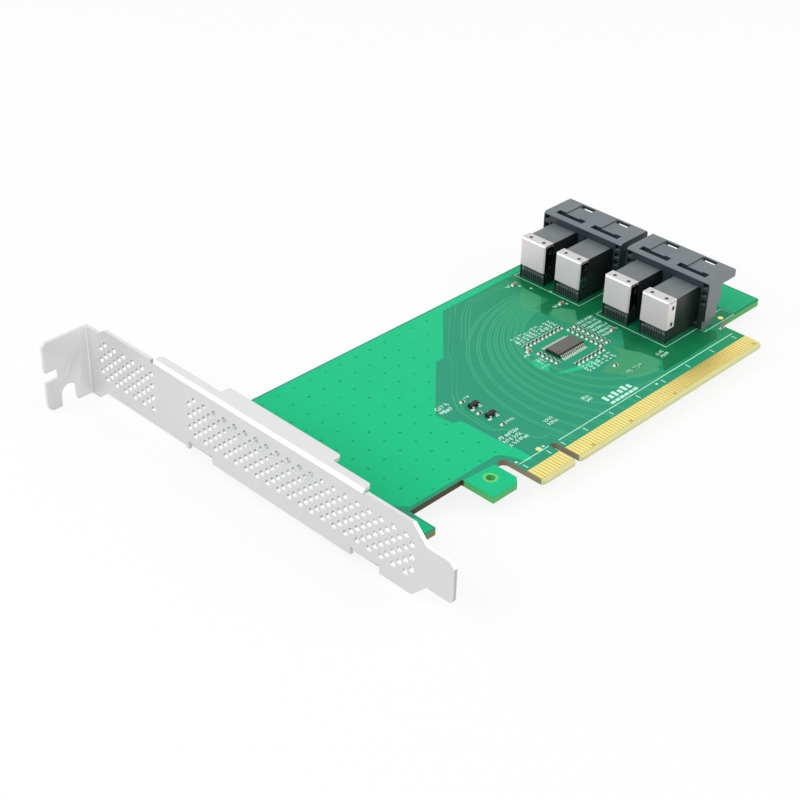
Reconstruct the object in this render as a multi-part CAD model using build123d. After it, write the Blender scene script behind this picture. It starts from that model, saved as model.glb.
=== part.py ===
from build123d import *
import os

# A x16 expansion card that carries four high-density cable ports.
# The card lies flat, component side up. X runs along the card from the slot bracket to the rear,
# Y from the edge fingers to the top edge. The origin is the middle of the key notch, at the
# fingers' bottom edge, on the component face. All sizes are millimetres.

# Circuit board outline
BOARD_THICKNESS = 1.57
BOARD_LEFT = -55.0
BOARD_RIGHT = 90.4
BOARD_TOP = 68.9
BOARD_SHOULDER = 13.0
BOARD_CORNER_RADIUS = 1.0
FOOT_RIGHT = -41.6
FOOT_BOTTOM = 4.9
FOOT_CORNER_RADIUS = 0.6

# Finger tongue and key notch
PAD_PITCH = 1.0
PAD_WIDTH = 0.7
PAD_THICKNESS = 0.05
PAD_TOP = 5.1
SHORT_PAD_SETBACK = 0.9
FRONT_PAD_COUNT = 11
REAR_PAD_COUNT = 71
PRESENCE_PADS_COMPONENT_SIDE = (17, 31, 48, 81)
PRESENCE_PADS_SOLDER_SIDE = (1,)
KEY_WIDTH = 1.9
KEY_DEPTH = 8.4
KEY_TO_FIRST_PAD = 1.5
TONGUE_MARGIN = 0.65
TONGUE_CHAMFER = 0.5
BEVEL_LENGTH = 0.9
BEVEL_DEPTH = 0.35

# Retention hook in front of the tongue
HOOK_LEFT = -25.0
HOOK_RIGHT = -15.5
HOOK_BOTTOM = 3.6
HOOK_CHAMFER = 1.7
HOOK_SLOT_TOP = 12.1
HOOK_HOLE_X = -19.9
HOOK_HOLE_Y = 9.1
HOOK_HOLE_RADIUS = 1.1

# Slot bracket, a folded sheet
SHEET = 0.86
BEND_RADIUS = 0.35
BRACKET_INNER_X = -57.15
BRACKET_TOP = 105.0
BRACKET_LENGTH = 120.02
FACE_WIDTH = 18.42
FACE_LOW = -3.35
FACE_STEP = 0.55
FACE_STEP_Y = 68.2
FACE_END = -3.6
BRACKET_TONGUE_WIDTH = 10.19
BRACKET_TONGUE_RISE = 4.2
BRACKET_TONGUE_CHAMFER = 1.25
NECK_Y = 97.0
NECK_SLOPE_LENGTH = 3.0
RELIEF_WIDTH = 0.9

# Bracket tab with its screw notch and side slit
TAB_LENGTH = 12.6
TAB_LOW = -5.45
TAB_HIGH = 13.3
TAB_FLARE_Y = 98.3
SCREW_NOTCH_WIDTH = 4.42
SCREW_NOTCH_DEPTH = 5.4
SCREW_NOTCH_FROM_FACE = 6.4
TAB_SLIT_LOW = 2.5
TAB_SLIT_HIGH = 5.3
TAB_SLIT_DEPTH = 3.7
TAB_LOBE_RADIUS = 1.8
TAB_CORNER_CHAMFER = 0.9

# Stiffening flange along the bracket's upper edge
FLANGE_TOP = 15.35
FLANGE_START = 10.8
FLANGE_END = 78.8
FLANGE_WIDTH = 2.75
FLANGE_WIDE_START = 22.3
FLANGE_WIDE_END = 58.2
FLANGE_WIDE_WIDTH = 5.3
FLANGE_CORNER_RADIUS = 1.0

# Vent holes in the bracket face, cut with flat sides to keep their many walls light
VENT_RADIUS = 0.72
VENT_SIDES = 6
VENT_PITCH_Y = 3.49
VENT_PITCH_Z = 1.6
VENT_ROWS = 7
VENT_LOW = 1.45
VENT_LONG_GROUP_Y = 66.3
VENT_LONG_GROUP_COUNT = 21
VENT_SHORT_GROUP_Y = 98.9
VENT_SHORT_GROUP_COUNT = 6

# Board ears folded from the bracket's lower edge, and their screws
EAR_BENDS = ((59.9, 66.3), (6.5, 13.3))
EAR_HOLES = ((-46.2, 63.1), (-46.2, 14.0))
EAR_RADIUS = 4.2
SCREW_RADIUS = 1.45
SCREW_HEAD_RADIUS = 2.75
SCREW_HEAD_HEIGHT = 1.6
SCREW_RECESS_WIDTH = 0.7
SCREW_RECESS_LENGTH = 3.0
SCREW_RECESS_DEPTH = 1.0
SCREW_EAR_CLEARANCE = 0.05
SCREW_BOARD_CLEARANCE = 0.15
SCREW_END_DEPTH = 0.25

# Twin port shells
SHELL_PAIR_MIDDLE = 40.875
SHELL_GAP = 1.95
PORT_PITCH = 11.88
SHELL_FRONT = 66.2
SHELL_HALF_WIDTH = 13.05
SHELL_TOP = 13.95
SHELL_WALL_BACK = 72.0
SHELL_LOWER_BACK = 70.9
SHELL_LOWER_TOP = 6.3
SHELL_FLOOR = 1.2
CANOPY_BACK = 77.6
CANOPY_UNDERSIDE = 11.6
CANOPY_EDGE_CHAMFER = 0.5
TUNNEL_HALF_WIDTH = 4.85
SHELL_SKIRT_TOP = 2.6
SHELL_SKIRT_INSET = 0.7
LATCH_WINDOW_WIDTH = 4.0
LATCH_WINDOW_LENGTH = 1.25
LATCH_WINDOW_SETBACK = 1.8
LATCH_PLATE = 0.45
LATCH_TRACK_WIDTH = 4.6
LATCH_TRACK_DEPTH = 0.3
TOP_POCKET_WIDTH = 9.0
TOP_POCKET_LENGTH = 2.0
TOP_POCKET_SETBACK = 1.5
TOP_POCKET_DEPTH = 1.3
END_POCKET_WIDTH = 1.5
END_POCKET_HEIGHT = 1.4
END_POCKET_DEPTH = 1.5
END_POCKET_WALL = 0.4
END_POCKET_TOP = 13.2
END_POCKET_PITCH = 2.3
END_POCKET_COUNT = 3
PEG_RADIUS = 0.8
PEG_SIDES = 8
PEG_LENGTH = 1.4
PEG_X = 69.0
PEG_INSET = 1.3
PEG_CLEARANCE = 0.1

# Contact block and metal cap of one port
CAP_FRONT = 53.5
CAP_DEPTH = 3.4
CAP_WIDTH = 8.3
CAP_BOTTOM = 3.9
CAP_TOP = 11.87
CAP_SHEET = 0.3
CAP_CORNER_CHAMFER = 0.35
CAP_SLIT = 0.25
CAP_DIMPLE_RADIUS = 0.55
CAP_DIMPLE_SIDES = 8
CAP_DIMPLE_SPACING = 4.4
CAP_DIMPLE_SETBACK = 1.7
CAP_WINDOW_WIDTH = 0.9
CAP_WINDOW_HEIGHT = 1.1
CAP_WINDOW_SETBACK = 1.8
CAP_WINDOW_RISE = 1.1
CAP_WINDOW_DROP = 2.2
CAP_LEG_WIDTH = 0.5
CAP_LEG_SETBACK = 0.5
BLOCK_CLEARANCE = 0.03
BLOCK_NOSE = 68.8
BLOCK_FOOT_INSET = 0.4
BLOCK_FOOT_TOP = 2.5
BLOCK_FOOT_SIDE_INSET = 0.45
BLOCK_NECK_INSET = 1.3
WAFER_COUNT = 9
WAFER_GROOVE_WIDTH = 0.3
WAFER_GROOVE_DEPTH = 0.5
CARD_SLOT_WIDTH = 7.2
CARD_SLOT_HEIGHT = 1.3
CARD_SLOT_DEPTH = 3.6
CARD_SLOT_LOW = 4.4
CARD_SLOT_SPACING = 3.4
CONTACT_COUNT = 9
CONTACT_PITCH = 0.8
CONTACT_WIDTH = 0.35
CONTACT_THICKNESS = 0.22
CONTACT_LENGTH = 2.9

# Clock buffer chip
CHIP_X = 34.1
CHIP_Y = 32.85
CHIP_LENGTH = 9.7
CHIP_WIDTH = 4.4
CHIP_HEIGHT = 1.0
CHIP_STANDOFF = 0.1
MOULD_DRAFT = 18
CHIP_DIMPLE_RADIUS = 0.4
CHIP_DIMPLE_SIDES = 12
CHIP_DIMPLE_DEPTH = 0.08
CHIP_DIMPLE_INSET = 0.9
CHIP_LEADS_PER_SIDE = 14
CHIP_LEAD_PITCH = 0.65
CHIP_LEAD_WIDTH = 0.25
CHIP_LEAD_SPAN = 6.4
CHIP_LEAD_FOOT = 0.6
LEAD_THICKNESS = 0.13

# Three-legged transistors
TRANSISTOR_SPOTS = ((-1.7, 30.9), (-1.7, 25.5))
TRANSISTOR_LENGTH = 2.9
TRANSISTOR_WIDTH = 1.4
TRANSISTOR_HEIGHT = 1.0
TRANSISTOR_STANDOFF = 0.08
TRANSISTOR_LEAD_OFFSET = 0.95
TRANSISTOR_LEAD_WIDTH = 0.45
TRANSISTOR_LEAD_SPAN = 2.5
TRANSISTOR_LEAD_FOOT = 0.35

# Small two-ended parts
CHIP_PART_LENGTH = 1.0
CHIP_PART_WIDTH = 0.55
CHIP_PART_HEIGHT = 0.4
END_CAP_LENGTH = 0.22
END_CAP_GROWTH = 0.02
UPPER_ROW = (27.3, 39.9)
UPPER_ROW_COUNT = 10
UPPER_ROW_PITCH = 1.5
LOWER_ROW = (30.7, 25.9)
LOWER_ROW_COUNT = 7
LOWER_ROW_PITCH = 1.6
LEFT_COLUMN = (27.6, 35.5)
LEFT_COLUMN_COUNT = 5
LEFT_COLUMN_PITCH = 1.45
RIGHT_COLUMNS = ((41.9, 37.7), (44.2, 37.7))
RIGHT_COLUMN_COUNT = 8
RIGHT_COLUMN_PITCH = 1.5
LONE_RESISTORS = ((-2.3, 33.9), (-2.8, 28.0), (-2.2, 21.1), (37.0, 19.0), (70.9, 11.4))
CAPACITORS = ((26.4, 38.0), (49.7, 30.0), (48.9, 62.6), (50.4, 47.6))
CAPACITOR_GROWTH = 0.15

FRONT_PAD_X = [-KEY_TO_FIRST_PAD - PAD_PITCH * (FRONT_PAD_COUNT - 1 - i) for i in range(FRONT_PAD_COUNT)]
REAR_PAD_X = [KEY_TO_FIRST_PAD + PAD_PITCH * i for i in range(REAR_PAD_COUNT)]
TONGUE_LEFT = FRONT_PAD_X[0] - TONGUE_MARGIN
TONGUE_RIGHT = REAR_PAD_X[-1] + TONGUE_MARGIN
BRACKET_OUTER_X = BRACKET_INNER_X - SHEET
OUTER_BEND = BEND_RADIUS + SHEET
EAR_UNDERSIDE = -BOARD_THICKNESS - SHEET
CAP_HALF = CAP_WIDTH / 2
BLOCK_HALF = CAP_HALF - CAP_SHEET - BLOCK_CLEARANCE
BLOCK_TOP = CAP_TOP - CAP_SHEET - BLOCK_CLEARANCE
CARD_SLOT_MIDDLES = [CARD_SLOT_LOW + CARD_SLOT_SPACING * i for i in range(2)]
SHELL_STEP = SHELL_HALF_WIDTH + SHELL_GAP / 2
SHELL_CENTERS = (SHELL_PAIR_MIDDLE + SHELL_STEP, SHELL_PAIR_MIDDLE - SHELL_STEP)
PORT_MIDDLES = [center + side * PORT_PITCH / 2 for center in SHELL_CENTERS for side in (1, -1)]


def span(x0, x1, y0, y1):
    """A rectangle in the current sketch plane between two corners."""
    return Pos((x0 + x1) / 2, (y0 + y1) / 2) * Rectangle(x1 - x0, y1 - y0)


def block(x0, x1, y0, y1, z0, z1):
    """A box between two corners."""
    middle = Pos((x0 + x1) / 2, (y0 + y1) / 2, (z0 + z1) / 2)
    return middle * Box(x1 - x0, y1 - y0, z1 - z0)


def corner(sketch, x, y):
    """The sketch's corner nearest a point."""
    return sketch.vertices().sort_by_distance((x, y, 0))[0]


def upright_edges(solid, x, y):
    """The solid's vertical edge nearest a point in plan."""
    uprights = solid.edges().filter_by(Axis.Z)
    return min(uprights, key=lambda edge: abs(edge.center().X - x) + abs(edge.center().Y - y))


def slot_from_edge(width, depth):
    """A slot that starts at the local X axis, runs up Y and ends in a half circle."""
    radius = width / 2
    return span(-radius, radius, -1, depth - radius) + Pos(0, depth - radius) * Circle(radius)


def circuit_board():
    """The board with its finger tongue, key notch, retention hook and front foot."""
    outline = span(BOARD_LEFT, BOARD_RIGHT, BOARD_SHOULDER, BOARD_TOP)
    outline += span(BOARD_LEFT, FOOT_RIGHT, FOOT_BOTTOM, BOARD_SHOULDER)
    outline += span(HOOK_LEFT, HOOK_RIGHT, HOOK_BOTTOM, BOARD_SHOULDER)
    outline += span(HOOK_RIGHT, TONGUE_LEFT, HOOK_SLOT_TOP - (TONGUE_LEFT - HOOK_RIGHT) / 2, BOARD_SHOULDER)
    outline += span(TONGUE_LEFT, TONGUE_RIGHT, 0, BOARD_SHOULDER)
    slot_middle = (HOOK_RIGHT + TONGUE_LEFT) / 2
    outline -= Pos(slot_middle, 0) * slot_from_edge(TONGUE_LEFT - HOOK_RIGHT, HOOK_SLOT_TOP)
    outline -= slot_from_edge(KEY_WIDTH, KEY_DEPTH)
    outline = chamfer(corner(outline, HOOK_RIGHT, HOOK_BOTTOM), HOOK_CHAMFER)
    for x in (TONGUE_LEFT, -KEY_WIDTH / 2, KEY_WIDTH / 2, TONGUE_RIGHT):
        outline = chamfer(corner(outline, x, 0), TONGUE_CHAMFER)
    for x, y in ((BOARD_LEFT, BOARD_TOP), (BOARD_RIGHT, BOARD_TOP), (BOARD_RIGHT, BOARD_SHOULDER)):
        outline = fillet(corner(outline, x, y), BOARD_CORNER_RADIUS)
    for x in (BOARD_LEFT, FOOT_RIGHT):
        outline = fillet(corner(outline, x, FOOT_BOTTOM), FOOT_CORNER_RADIUS)
    outline -= Pos(HOOK_HOLE_X, HOOK_HOLE_Y) * Circle(HOOK_HOLE_RADIUS)
    for x, y in EAR_HOLES:
        outline -= Pos(x, y) * Circle(SCREW_RADIUS + SCREW_BOARD_CLEARANCE)
    for center in SHELL_CENTERS:
        for side in (-1, 1):
            peg_y = center + side * (SHELL_HALF_WIDTH - PEG_INSET)
            outline -= Pos(PEG_X, peg_y) * RegularPolygon(PEG_RADIUS + PEG_CLEARANCE, PEG_SIDES)
    board = extrude(outline, -BOARD_THICKNESS)
    for face_z, inward in ((0, -1), (-BOARD_THICKNESS, 1)):
        wedge = Polyline((-1, face_z), (BEVEL_LENGTH, face_z), (0, face_z + inward * BEVEL_DEPTH),
                         (-1, face_z + inward * BEVEL_DEPTH), close=True)
        bevel = Plane.YZ.offset(TONGUE_LEFT) * make_face(wedge)
        board -= extrude(bevel, TONGUE_RIGHT - TONGUE_LEFT)
    return board


def edge_contacts(face_z, outward, short_pads):
    """One side's gold fingers, numbered from the bracket end."""
    pads = []
    for number, x in enumerate(FRONT_PAD_X + REAR_PAD_X, start=1):
        bottom = BEVEL_LENGTH + (SHORT_PAD_SETBACK if number in short_pads else 0)
        low, high = sorted((face_z, face_z + outward * PAD_THICKNESS))
        pads.append(block(x - PAD_WIDTH / 2, x + PAD_WIDTH / 2, bottom, PAD_TOP, low, high))
    return Compound(children=pads)


def fold_section(length):
    """A fold's section: the bend starts down local Y, the leg runs out along local X."""
    middle = (OUTER_BEND, -OUTER_BEND)
    return make_face([
        CenterArc(middle, OUTER_BEND, 90, 90),
        Line((0, -OUTER_BEND), (SHEET, -OUTER_BEND)),
        CenterArc(middle, BEND_RADIUS, 90, 90),
        Line((OUTER_BEND, -SHEET), (length, -SHEET)),
        Line((length, -SHEET), (length, 0)),
        Line((length, 0), (OUTER_BEND, 0)),
    ])


def vent_centers():
    """Centres of the staggered vent holes, as places in the bracket face."""
    centers = []
    groups = ((VENT_LONG_GROUP_Y, VENT_LONG_GROUP_COUNT, 1), (VENT_SHORT_GROUP_Y, VENT_SHORT_GROUP_COUNT, 0))
    for top_y, count, fewer in groups:
        for row in range(VENT_ROWS):
            shifted = row % 2 == 0
            start = top_y - (VENT_PITCH_Y / 2 if shifted else 0)
            for i in range(count - (fewer if shifted else 0)):
                centers.append((start - VENT_PITCH_Y * i, VENT_LOW + VENT_PITCH_Z * row))
    return centers


def bracket_face():
    """The bracket's flat face with its vents, cut back where an edge is folded."""
    high = FACE_LOW + FACE_WIDTH
    low = FACE_LOW + FACE_STEP
    tongue_low = FACE_LOW + BRACKET_TONGUE_RISE
    tongue_high = tongue_low + BRACKET_TONGUE_WIDTH
    tongue_end = BRACKET_TOP - BRACKET_LENGTH
    bend = BRACKET_TOP - OUTER_BEND
    outline = make_face(Polyline(
        (tongue_end, tongue_low), (tongue_end, tongue_high), (FACE_END - (high - tongue_high), tongue_high),
        (FACE_END, high), (NECK_Y, high), (NECK_Y + NECK_SLOPE_LENGTH, TAB_HIGH), (bend, TAB_HIGH),
        (bend, TAB_LOW), (TAB_FLARE_Y + low - TAB_LOW, TAB_LOW), (TAB_FLARE_Y, low), (FACE_STEP_Y, low),
        (FACE_STEP_Y, FACE_LOW), (FACE_END, FACE_LOW), (FACE_END - BRACKET_TONGUE_RISE, tongue_low),
        close=True))
    outline = chamfer(corner(outline, tongue_end, tongue_high), BRACKET_TONGUE_CHAMFER)
    outline = fillet(corner(outline, tongue_end, tongue_low), BRACKET_TONGUE_CHAMFER)
    outline -= span(FLANGE_START - RELIEF_WIDTH, FLANGE_END + RELIEF_WIDTH, FLANGE_TOP - OUTER_BEND, FLANGE_TOP)
    outline += span(FLANGE_START, FLANGE_END, high - OUTER_BEND, FLANGE_TOP - OUTER_BEND)
    for start, end in EAR_BENDS:
        outline -= span(start - RELIEF_WIDTH, end + RELIEF_WIDTH, FACE_LOW, EAR_UNDERSIDE + OUTER_BEND)
    vent = RegularPolygon(VENT_RADIUS, VENT_SIDES)
    outline -= [Pos(y, z) * vent for y, z in vent_centers()]
    return extrude(Plane.YZ.offset(BRACKET_OUTER_X) * outline, SHEET)


def bracket_flange():
    """The stiffening flange on the upper edge, wider along its middle."""
    flange = None
    for start, end, width in ((FLANGE_START, FLANGE_END, FLANGE_WIDTH),
                              (FLANGE_WIDE_START, FLANGE_WIDE_END, FLANGE_WIDE_WIDTH)):
        plane = Plane((BRACKET_OUTER_X, end, FLANGE_TOP), x_dir=(1, 0, 0), z_dir=(0, -1, 0))
        strip = extrude(plane * fold_section(width), end - start)
        for y in (start, end):
            strip = fillet(upright_edges(strip, BRACKET_OUTER_X + width, y), FLANGE_CORNER_RADIUS)
        flange = strip if flange is None else flange + strip
    return flange


def bracket_ears():
    """Two ears folded under the board, each with a rounded end around its screw."""
    ears = []
    for (start, end), (x, y) in zip(EAR_BENDS, EAR_HOLES):
        plane = Plane((BRACKET_OUTER_X, start, EAR_UNDERSIDE), x_dir=(1, 0, 0), z_dir=(0, 1, 0))
        ear = extrude(plane * fold_section(x - BRACKET_OUTER_X), end - start)
        ear += Pos(x, y, EAR_UNDERSIDE) * extrude(Circle(EAR_RADIUS), SHEET)
        ear -= Pos(x, y, EAR_UNDERSIDE) * extrude(Circle(SCREW_RADIUS + SCREW_EAR_CLEARANCE), SHEET)
        ears.append(ear)
    return ears


def bracket_tab():
    """The tab that is screwed to the chassis, with its notch, slit and rounded lobe."""
    tab_end = BRACKET_OUTER_X - TAB_LENGTH
    plane = Plane((BRACKET_INNER_X, BRACKET_TOP, TAB_HIGH), x_dir=(-1, 0, 0), z_dir=(0, 0, -1))
    tab = extrude(plane * fold_section(BRACKET_INNER_X - tab_end), TAB_HIGH - TAB_LOW)
    seat = Plane((0, BRACKET_TOP, 0), x_dir=(1, 0, 0), z_dir=(0, -1, 0))
    notch_x = BRACKET_OUTER_X - SCREW_NOTCH_FROM_FACE
    keep = span(tab_end, BRACKET_INNER_X, TAB_LOW, TAB_HIGH)
    keep = chamfer(corner(keep, tab_end, TAB_HIGH), TAB_CORNER_CHAMFER)
    keep -= span(tab_end, tab_end + TAB_SLIT_DEPTH, TAB_SLIT_LOW, TAB_SLIT_HIGH)
    keep = fillet(corner(keep, tab_end, TAB_LOW), TAB_LOBE_RADIUS)
    keep -= Pos(notch_x, TAB_LOW) * slot_from_edge(SCREW_NOTCH_WIDTH, SCREW_NOTCH_DEPTH)
    for x in (notch_x - SCREW_NOTCH_WIDTH / 2, notch_x + SCREW_NOTCH_WIDTH / 2):
        keep = fillet(corner(keep, x, TAB_LOW), SHEET / 2)
    return tab & extrude(seat * keep, OUTER_BEND)


def mounting_bracket():
    """The whole folded sheet: face, flange, board ears and chassis tab."""
    bracket = bracket_face() + bracket_flange() + bracket_tab()
    for ear in bracket_ears():
        bracket += ear
    return bracket


def bracket_screw(x, y):
    """A pan head screw from the solder side, through an ear and flush into the board."""
    head = extrude(Circle(SCREW_HEAD_RADIUS), -SCREW_HEAD_HEIGHT)
    cross = Rectangle(SCREW_RECESS_LENGTH, SCREW_RECESS_WIDTH) + Rectangle(SCREW_RECESS_WIDTH, SCREW_RECESS_LENGTH)
    head -= Pos(0, 0, -SCREW_HEAD_HEIGHT) * extrude(cross, SCREW_RECESS_DEPTH)
    shank = extrude(Circle(SCREW_RADIUS), -EAR_UNDERSIDE - SCREW_END_DEPTH)
    return Pos(x, y, EAR_UNDERSIDE) * (head + shank)


def shell_profile():
    """The shell's side view: canopy over the mating side, stepped wall below it."""
    return make_face(Polyline(
        (SHELL_FRONT, 0), (SHELL_LOWER_BACK, 0), (SHELL_LOWER_BACK, SHELL_LOWER_TOP),
        (SHELL_WALL_BACK, SHELL_LOWER_TOP), (SHELL_WALL_BACK, CANOPY_UNDERSIDE),
        (CANOPY_BACK, CANOPY_UNDERSIDE), (CANOPY_BACK, SHELL_TOP), (SHELL_FRONT, SHELL_TOP), close=True))


def port_shell(center):
    """A twin shell: one moulding with two tunnels, latch windows and locating pegs."""
    low = center - SHELL_HALF_WIDTH
    high = center + SHELL_HALF_WIDTH
    side = Plane((0, high, 0), x_dir=(1, 0, 0), z_dir=(0, -1, 0))
    shell = extrude(side * shell_profile(), high - low)
    rims = shell.edges().filter_by(Axis.Y).group_by(Axis.Z)[-1]
    shell = chamfer(rims, CANOPY_EDGE_CHAMFER)
    for middle in (center - PORT_PITCH / 2, center + PORT_PITCH / 2):
        left = middle - TUNNEL_HALF_WIDTH
        right = middle + TUNNEL_HALF_WIDTH
        shell -= block(SHELL_FRONT, SHELL_WALL_BACK, left, right, SHELL_FLOOR, CANOPY_UNDERSIDE)
        shell -= latch_cuts(middle)
    for edge_y, inward in ((low, 1), (high, -1)):
        y0, y1 = sorted((edge_y, edge_y + inward * SHELL_SKIRT_INSET))
        shell -= block(SHELL_FRONT, SHELL_LOWER_BACK, y0, y1, 0, SHELL_SKIRT_TOP)
        y0, y1 = sorted((edge_y + inward * END_POCKET_WALL, edge_y + inward * (END_POCKET_WALL + END_POCKET_WIDTH)))
        for i in range(END_POCKET_COUNT):
            top = END_POCKET_TOP - END_POCKET_PITCH * i
            shell -= block(SHELL_FRONT, SHELL_FRONT + END_POCKET_DEPTH, y0, y1, top - END_POCKET_HEIGHT, top)
        peg_y = edge_y + inward * PEG_INSET
        shell += Pos(PEG_X, peg_y, -PEG_LENGTH) * extrude(RegularPolygon(PEG_RADIUS, PEG_SIDES), PEG_LENGTH)
    return shell


def latch_cuts(middle):
    """The cuts in a shell's canopy for one port: front pocket, latch track, window and plug notch."""
    pocket_front = SHELL_FRONT + TOP_POCKET_SETBACK
    pocket_back = pocket_front + TOP_POCKET_LENGTH
    window_back = CANOPY_BACK - LATCH_WINDOW_SETBACK + LATCH_WINDOW_LENGTH / 2
    window_front = window_back - LATCH_WINDOW_LENGTH
    pocket = block(pocket_front, pocket_back, middle - TOP_POCKET_WIDTH / 2, middle + TOP_POCKET_WIDTH / 2,
                   SHELL_TOP - TOP_POCKET_DEPTH, SHELL_TOP)
    track = block(pocket_back, window_back, middle - LATCH_TRACK_WIDTH / 2, middle + LATCH_TRACK_WIDTH / 2,
                  SHELL_TOP - LATCH_TRACK_DEPTH, SHELL_TOP)
    window = block(window_front, window_back, middle - LATCH_WINDOW_WIDTH / 2, middle + LATCH_WINDOW_WIDTH / 2,
                   CANOPY_UNDERSIDE, SHELL_TOP)
    notch = block(SHELL_WALL_BACK, CANOPY_BACK, middle - LATCH_TRACK_WIDTH / 2, middle + LATCH_TRACK_WIDTH / 2,
                  CANOPY_UNDERSIDE, SHELL_TOP - LATCH_TRACK_DEPTH - LATCH_PLATE)
    return pocket + track + window + notch


def contact_block(middle):
    """A port's stack of contact wafers: ribbed foot, body under the cap, slotted nose."""
    foot_front = CAP_FRONT + CAP_SHEET + BLOCK_FOOT_INSET
    neck_front = CAP_FRONT + CAP_SHEET + BLOCK_NECK_INSET
    body_front = CAP_FRONT + CAP_SHEET + BLOCK_CLEARANCE
    nose_low = SHELL_FLOOR + BLOCK_CLEARANCE
    outline = make_face(Polyline(
        (foot_front, 0), (foot_front, BLOCK_FOOT_TOP), (neck_front, BLOCK_FOOT_TOP), (neck_front, CAP_BOTTOM),
        (body_front, CAP_BOTTOM), (body_front, BLOCK_TOP),
        (BLOCK_NOSE, BLOCK_TOP), (BLOCK_NOSE, nose_low), (SHELL_FRONT - BLOCK_CLEARANCE, nose_low),
        (SHELL_FRONT - BLOCK_CLEARANCE, 0), close=True))
    side = Plane((0, middle + BLOCK_HALF, 0), x_dir=(1, 0, 0), z_dir=(0, -1, 0))
    body = extrude(side * outline, 2 * BLOCK_HALF)
    foot_half = BLOCK_HALF - BLOCK_FOOT_SIDE_INSET
    for side in (-1, 1):
        y0, y1 = sorted((middle + side * foot_half, middle + side * BLOCK_HALF))
        body -= block(foot_front, CAP_FRONT + CAP_DEPTH, y0, y1, 0, BLOCK_FOOT_TOP)
    pitch = 2 * foot_half / WAFER_COUNT
    for i in range(1, WAFER_COUNT):
        y = middle - foot_half + pitch * i
        body -= block(foot_front, foot_front + WAFER_GROOVE_DEPTH, y - WAFER_GROOVE_WIDTH / 2,
                      y + WAFER_GROOVE_WIDTH / 2, 0, BLOCK_FOOT_TOP)
    for z in CARD_SLOT_MIDDLES:
        body -= block(BLOCK_NOSE - CARD_SLOT_DEPTH, BLOCK_NOSE, middle - CARD_SLOT_WIDTH / 2,
                      middle + CARD_SLOT_WIDTH / 2, z - CARD_SLOT_HEIGHT / 2, z + CARD_SLOT_HEIGHT / 2)
    return body


def metal_cap(middle):
    """The folded cap over the back of a port: front, top, two sides and solder legs."""
    left = middle - CAP_HALF
    right = middle + CAP_HALF
    back = CAP_FRONT + CAP_DEPTH
    cap = block(CAP_FRONT, back, left, right, CAP_BOTTOM, CAP_TOP)
    for y in (left, right):
        cap = chamfer(upright_edges(cap, CAP_FRONT, y), CAP_CORNER_CHAMFER)
    rim = cap.edges().filter_by(Axis.Y).group_by(Axis.Z)[-1].sort_by(Axis.X)[0]
    cap = chamfer(rim, CAP_CORNER_CHAMFER)
    cap -= block(CAP_FRONT + CAP_SHEET, back, left + CAP_SHEET, right - CAP_SHEET, CAP_BOTTOM, CAP_TOP - CAP_SHEET)
    windows = [CAP_BOTTOM + CAP_WINDOW_RISE, CAP_TOP - CAP_WINDOW_DROP]
    window_x = CAP_FRONT + CAP_WINDOW_SETBACK
    for y0, y1 in ((left, left + CAP_SHEET), (right - CAP_SHEET, right)):
        cap -= block(CAP_FRONT + CAP_SHEET + CAP_CORNER_CHAMFER, back, y0, y1,
                     CAP_TOP - CAP_SHEET - CAP_SLIT, CAP_TOP - CAP_SHEET)
        for z in windows:
            cap -= block(window_x, window_x + CAP_WINDOW_WIDTH, y0, y1,
                         z - CAP_WINDOW_HEIGHT / 2, z + CAP_WINDOW_HEIGHT / 2)
        leg_x = CAP_FRONT + CAP_LEG_SETBACK
        cap += block(leg_x, leg_x + CAP_LEG_WIDTH, y0, y1, 0, CAP_BOTTOM)
    for side in (-1, 1):
        spot = Pos(CAP_FRONT + CAP_DIMPLE_SETBACK, middle + side * CAP_DIMPLE_SPACING / 2, CAP_TOP - CAP_SHEET)
        cap -= spot * extrude(RegularPolygon(CAP_DIMPLE_RADIUS, CAP_DIMPLE_SIDES), CAP_SHEET)
    return cap


def port_contacts(middle):
    """Contact strips above and below each card slot of one port."""
    strips = []
    tip = BLOCK_NOSE - (CARD_SLOT_DEPTH - CONTACT_LENGTH)
    first = middle - CONTACT_PITCH * (CONTACT_COUNT - 1) / 2
    for z in CARD_SLOT_MIDDLES:
        for low in (z - CARD_SLOT_HEIGHT / 2, z + CARD_SLOT_HEIGHT / 2 - CONTACT_THICKNESS):
            for i in range(CONTACT_COUNT):
                y = first + CONTACT_PITCH * i
                strips.append(block(tip - CONTACT_LENGTH, tip, y - CONTACT_WIDTH / 2, y + CONTACT_WIDTH / 2,
                                    low, low + CONTACT_THICKNESS))
    return Compound(children=strips)


def moulded_body(length, width, height, standoff):
    """A chip body whose four sides lean in, above and below, to a flat top and bottom."""
    middle = standoff + height / 2
    half = extrude(Pos(0, 0, middle) * Rectangle(length, width), height / 2, taper=MOULD_DRAFT)
    other = extrude(Pos(0, 0, middle) * Rectangle(length, width), -height / 2, taper=MOULD_DRAFT)
    return half + other


def gull_lead(body_edge, foot_end, foot_length, height, width):
    """A lead that leaves the body level, drops and ends in a flat foot, along local X."""
    shank = foot_end - foot_length
    outline = make_face(Polyline(
        (body_edge, height), (shank, height), (shank, 0), (foot_end, 0), (shank + LEAD_THICKNESS, LEAD_THICKNESS),
        (shank + LEAD_THICKNESS, height + LEAD_THICKNESS), (body_edge, height + LEAD_THICKNESS), close=True))
    plane = Plane((0, width / 2, 0), x_dir=(1, 0, 0), z_dir=(0, -1, 0))
    return extrude(plane * outline, width)


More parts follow.
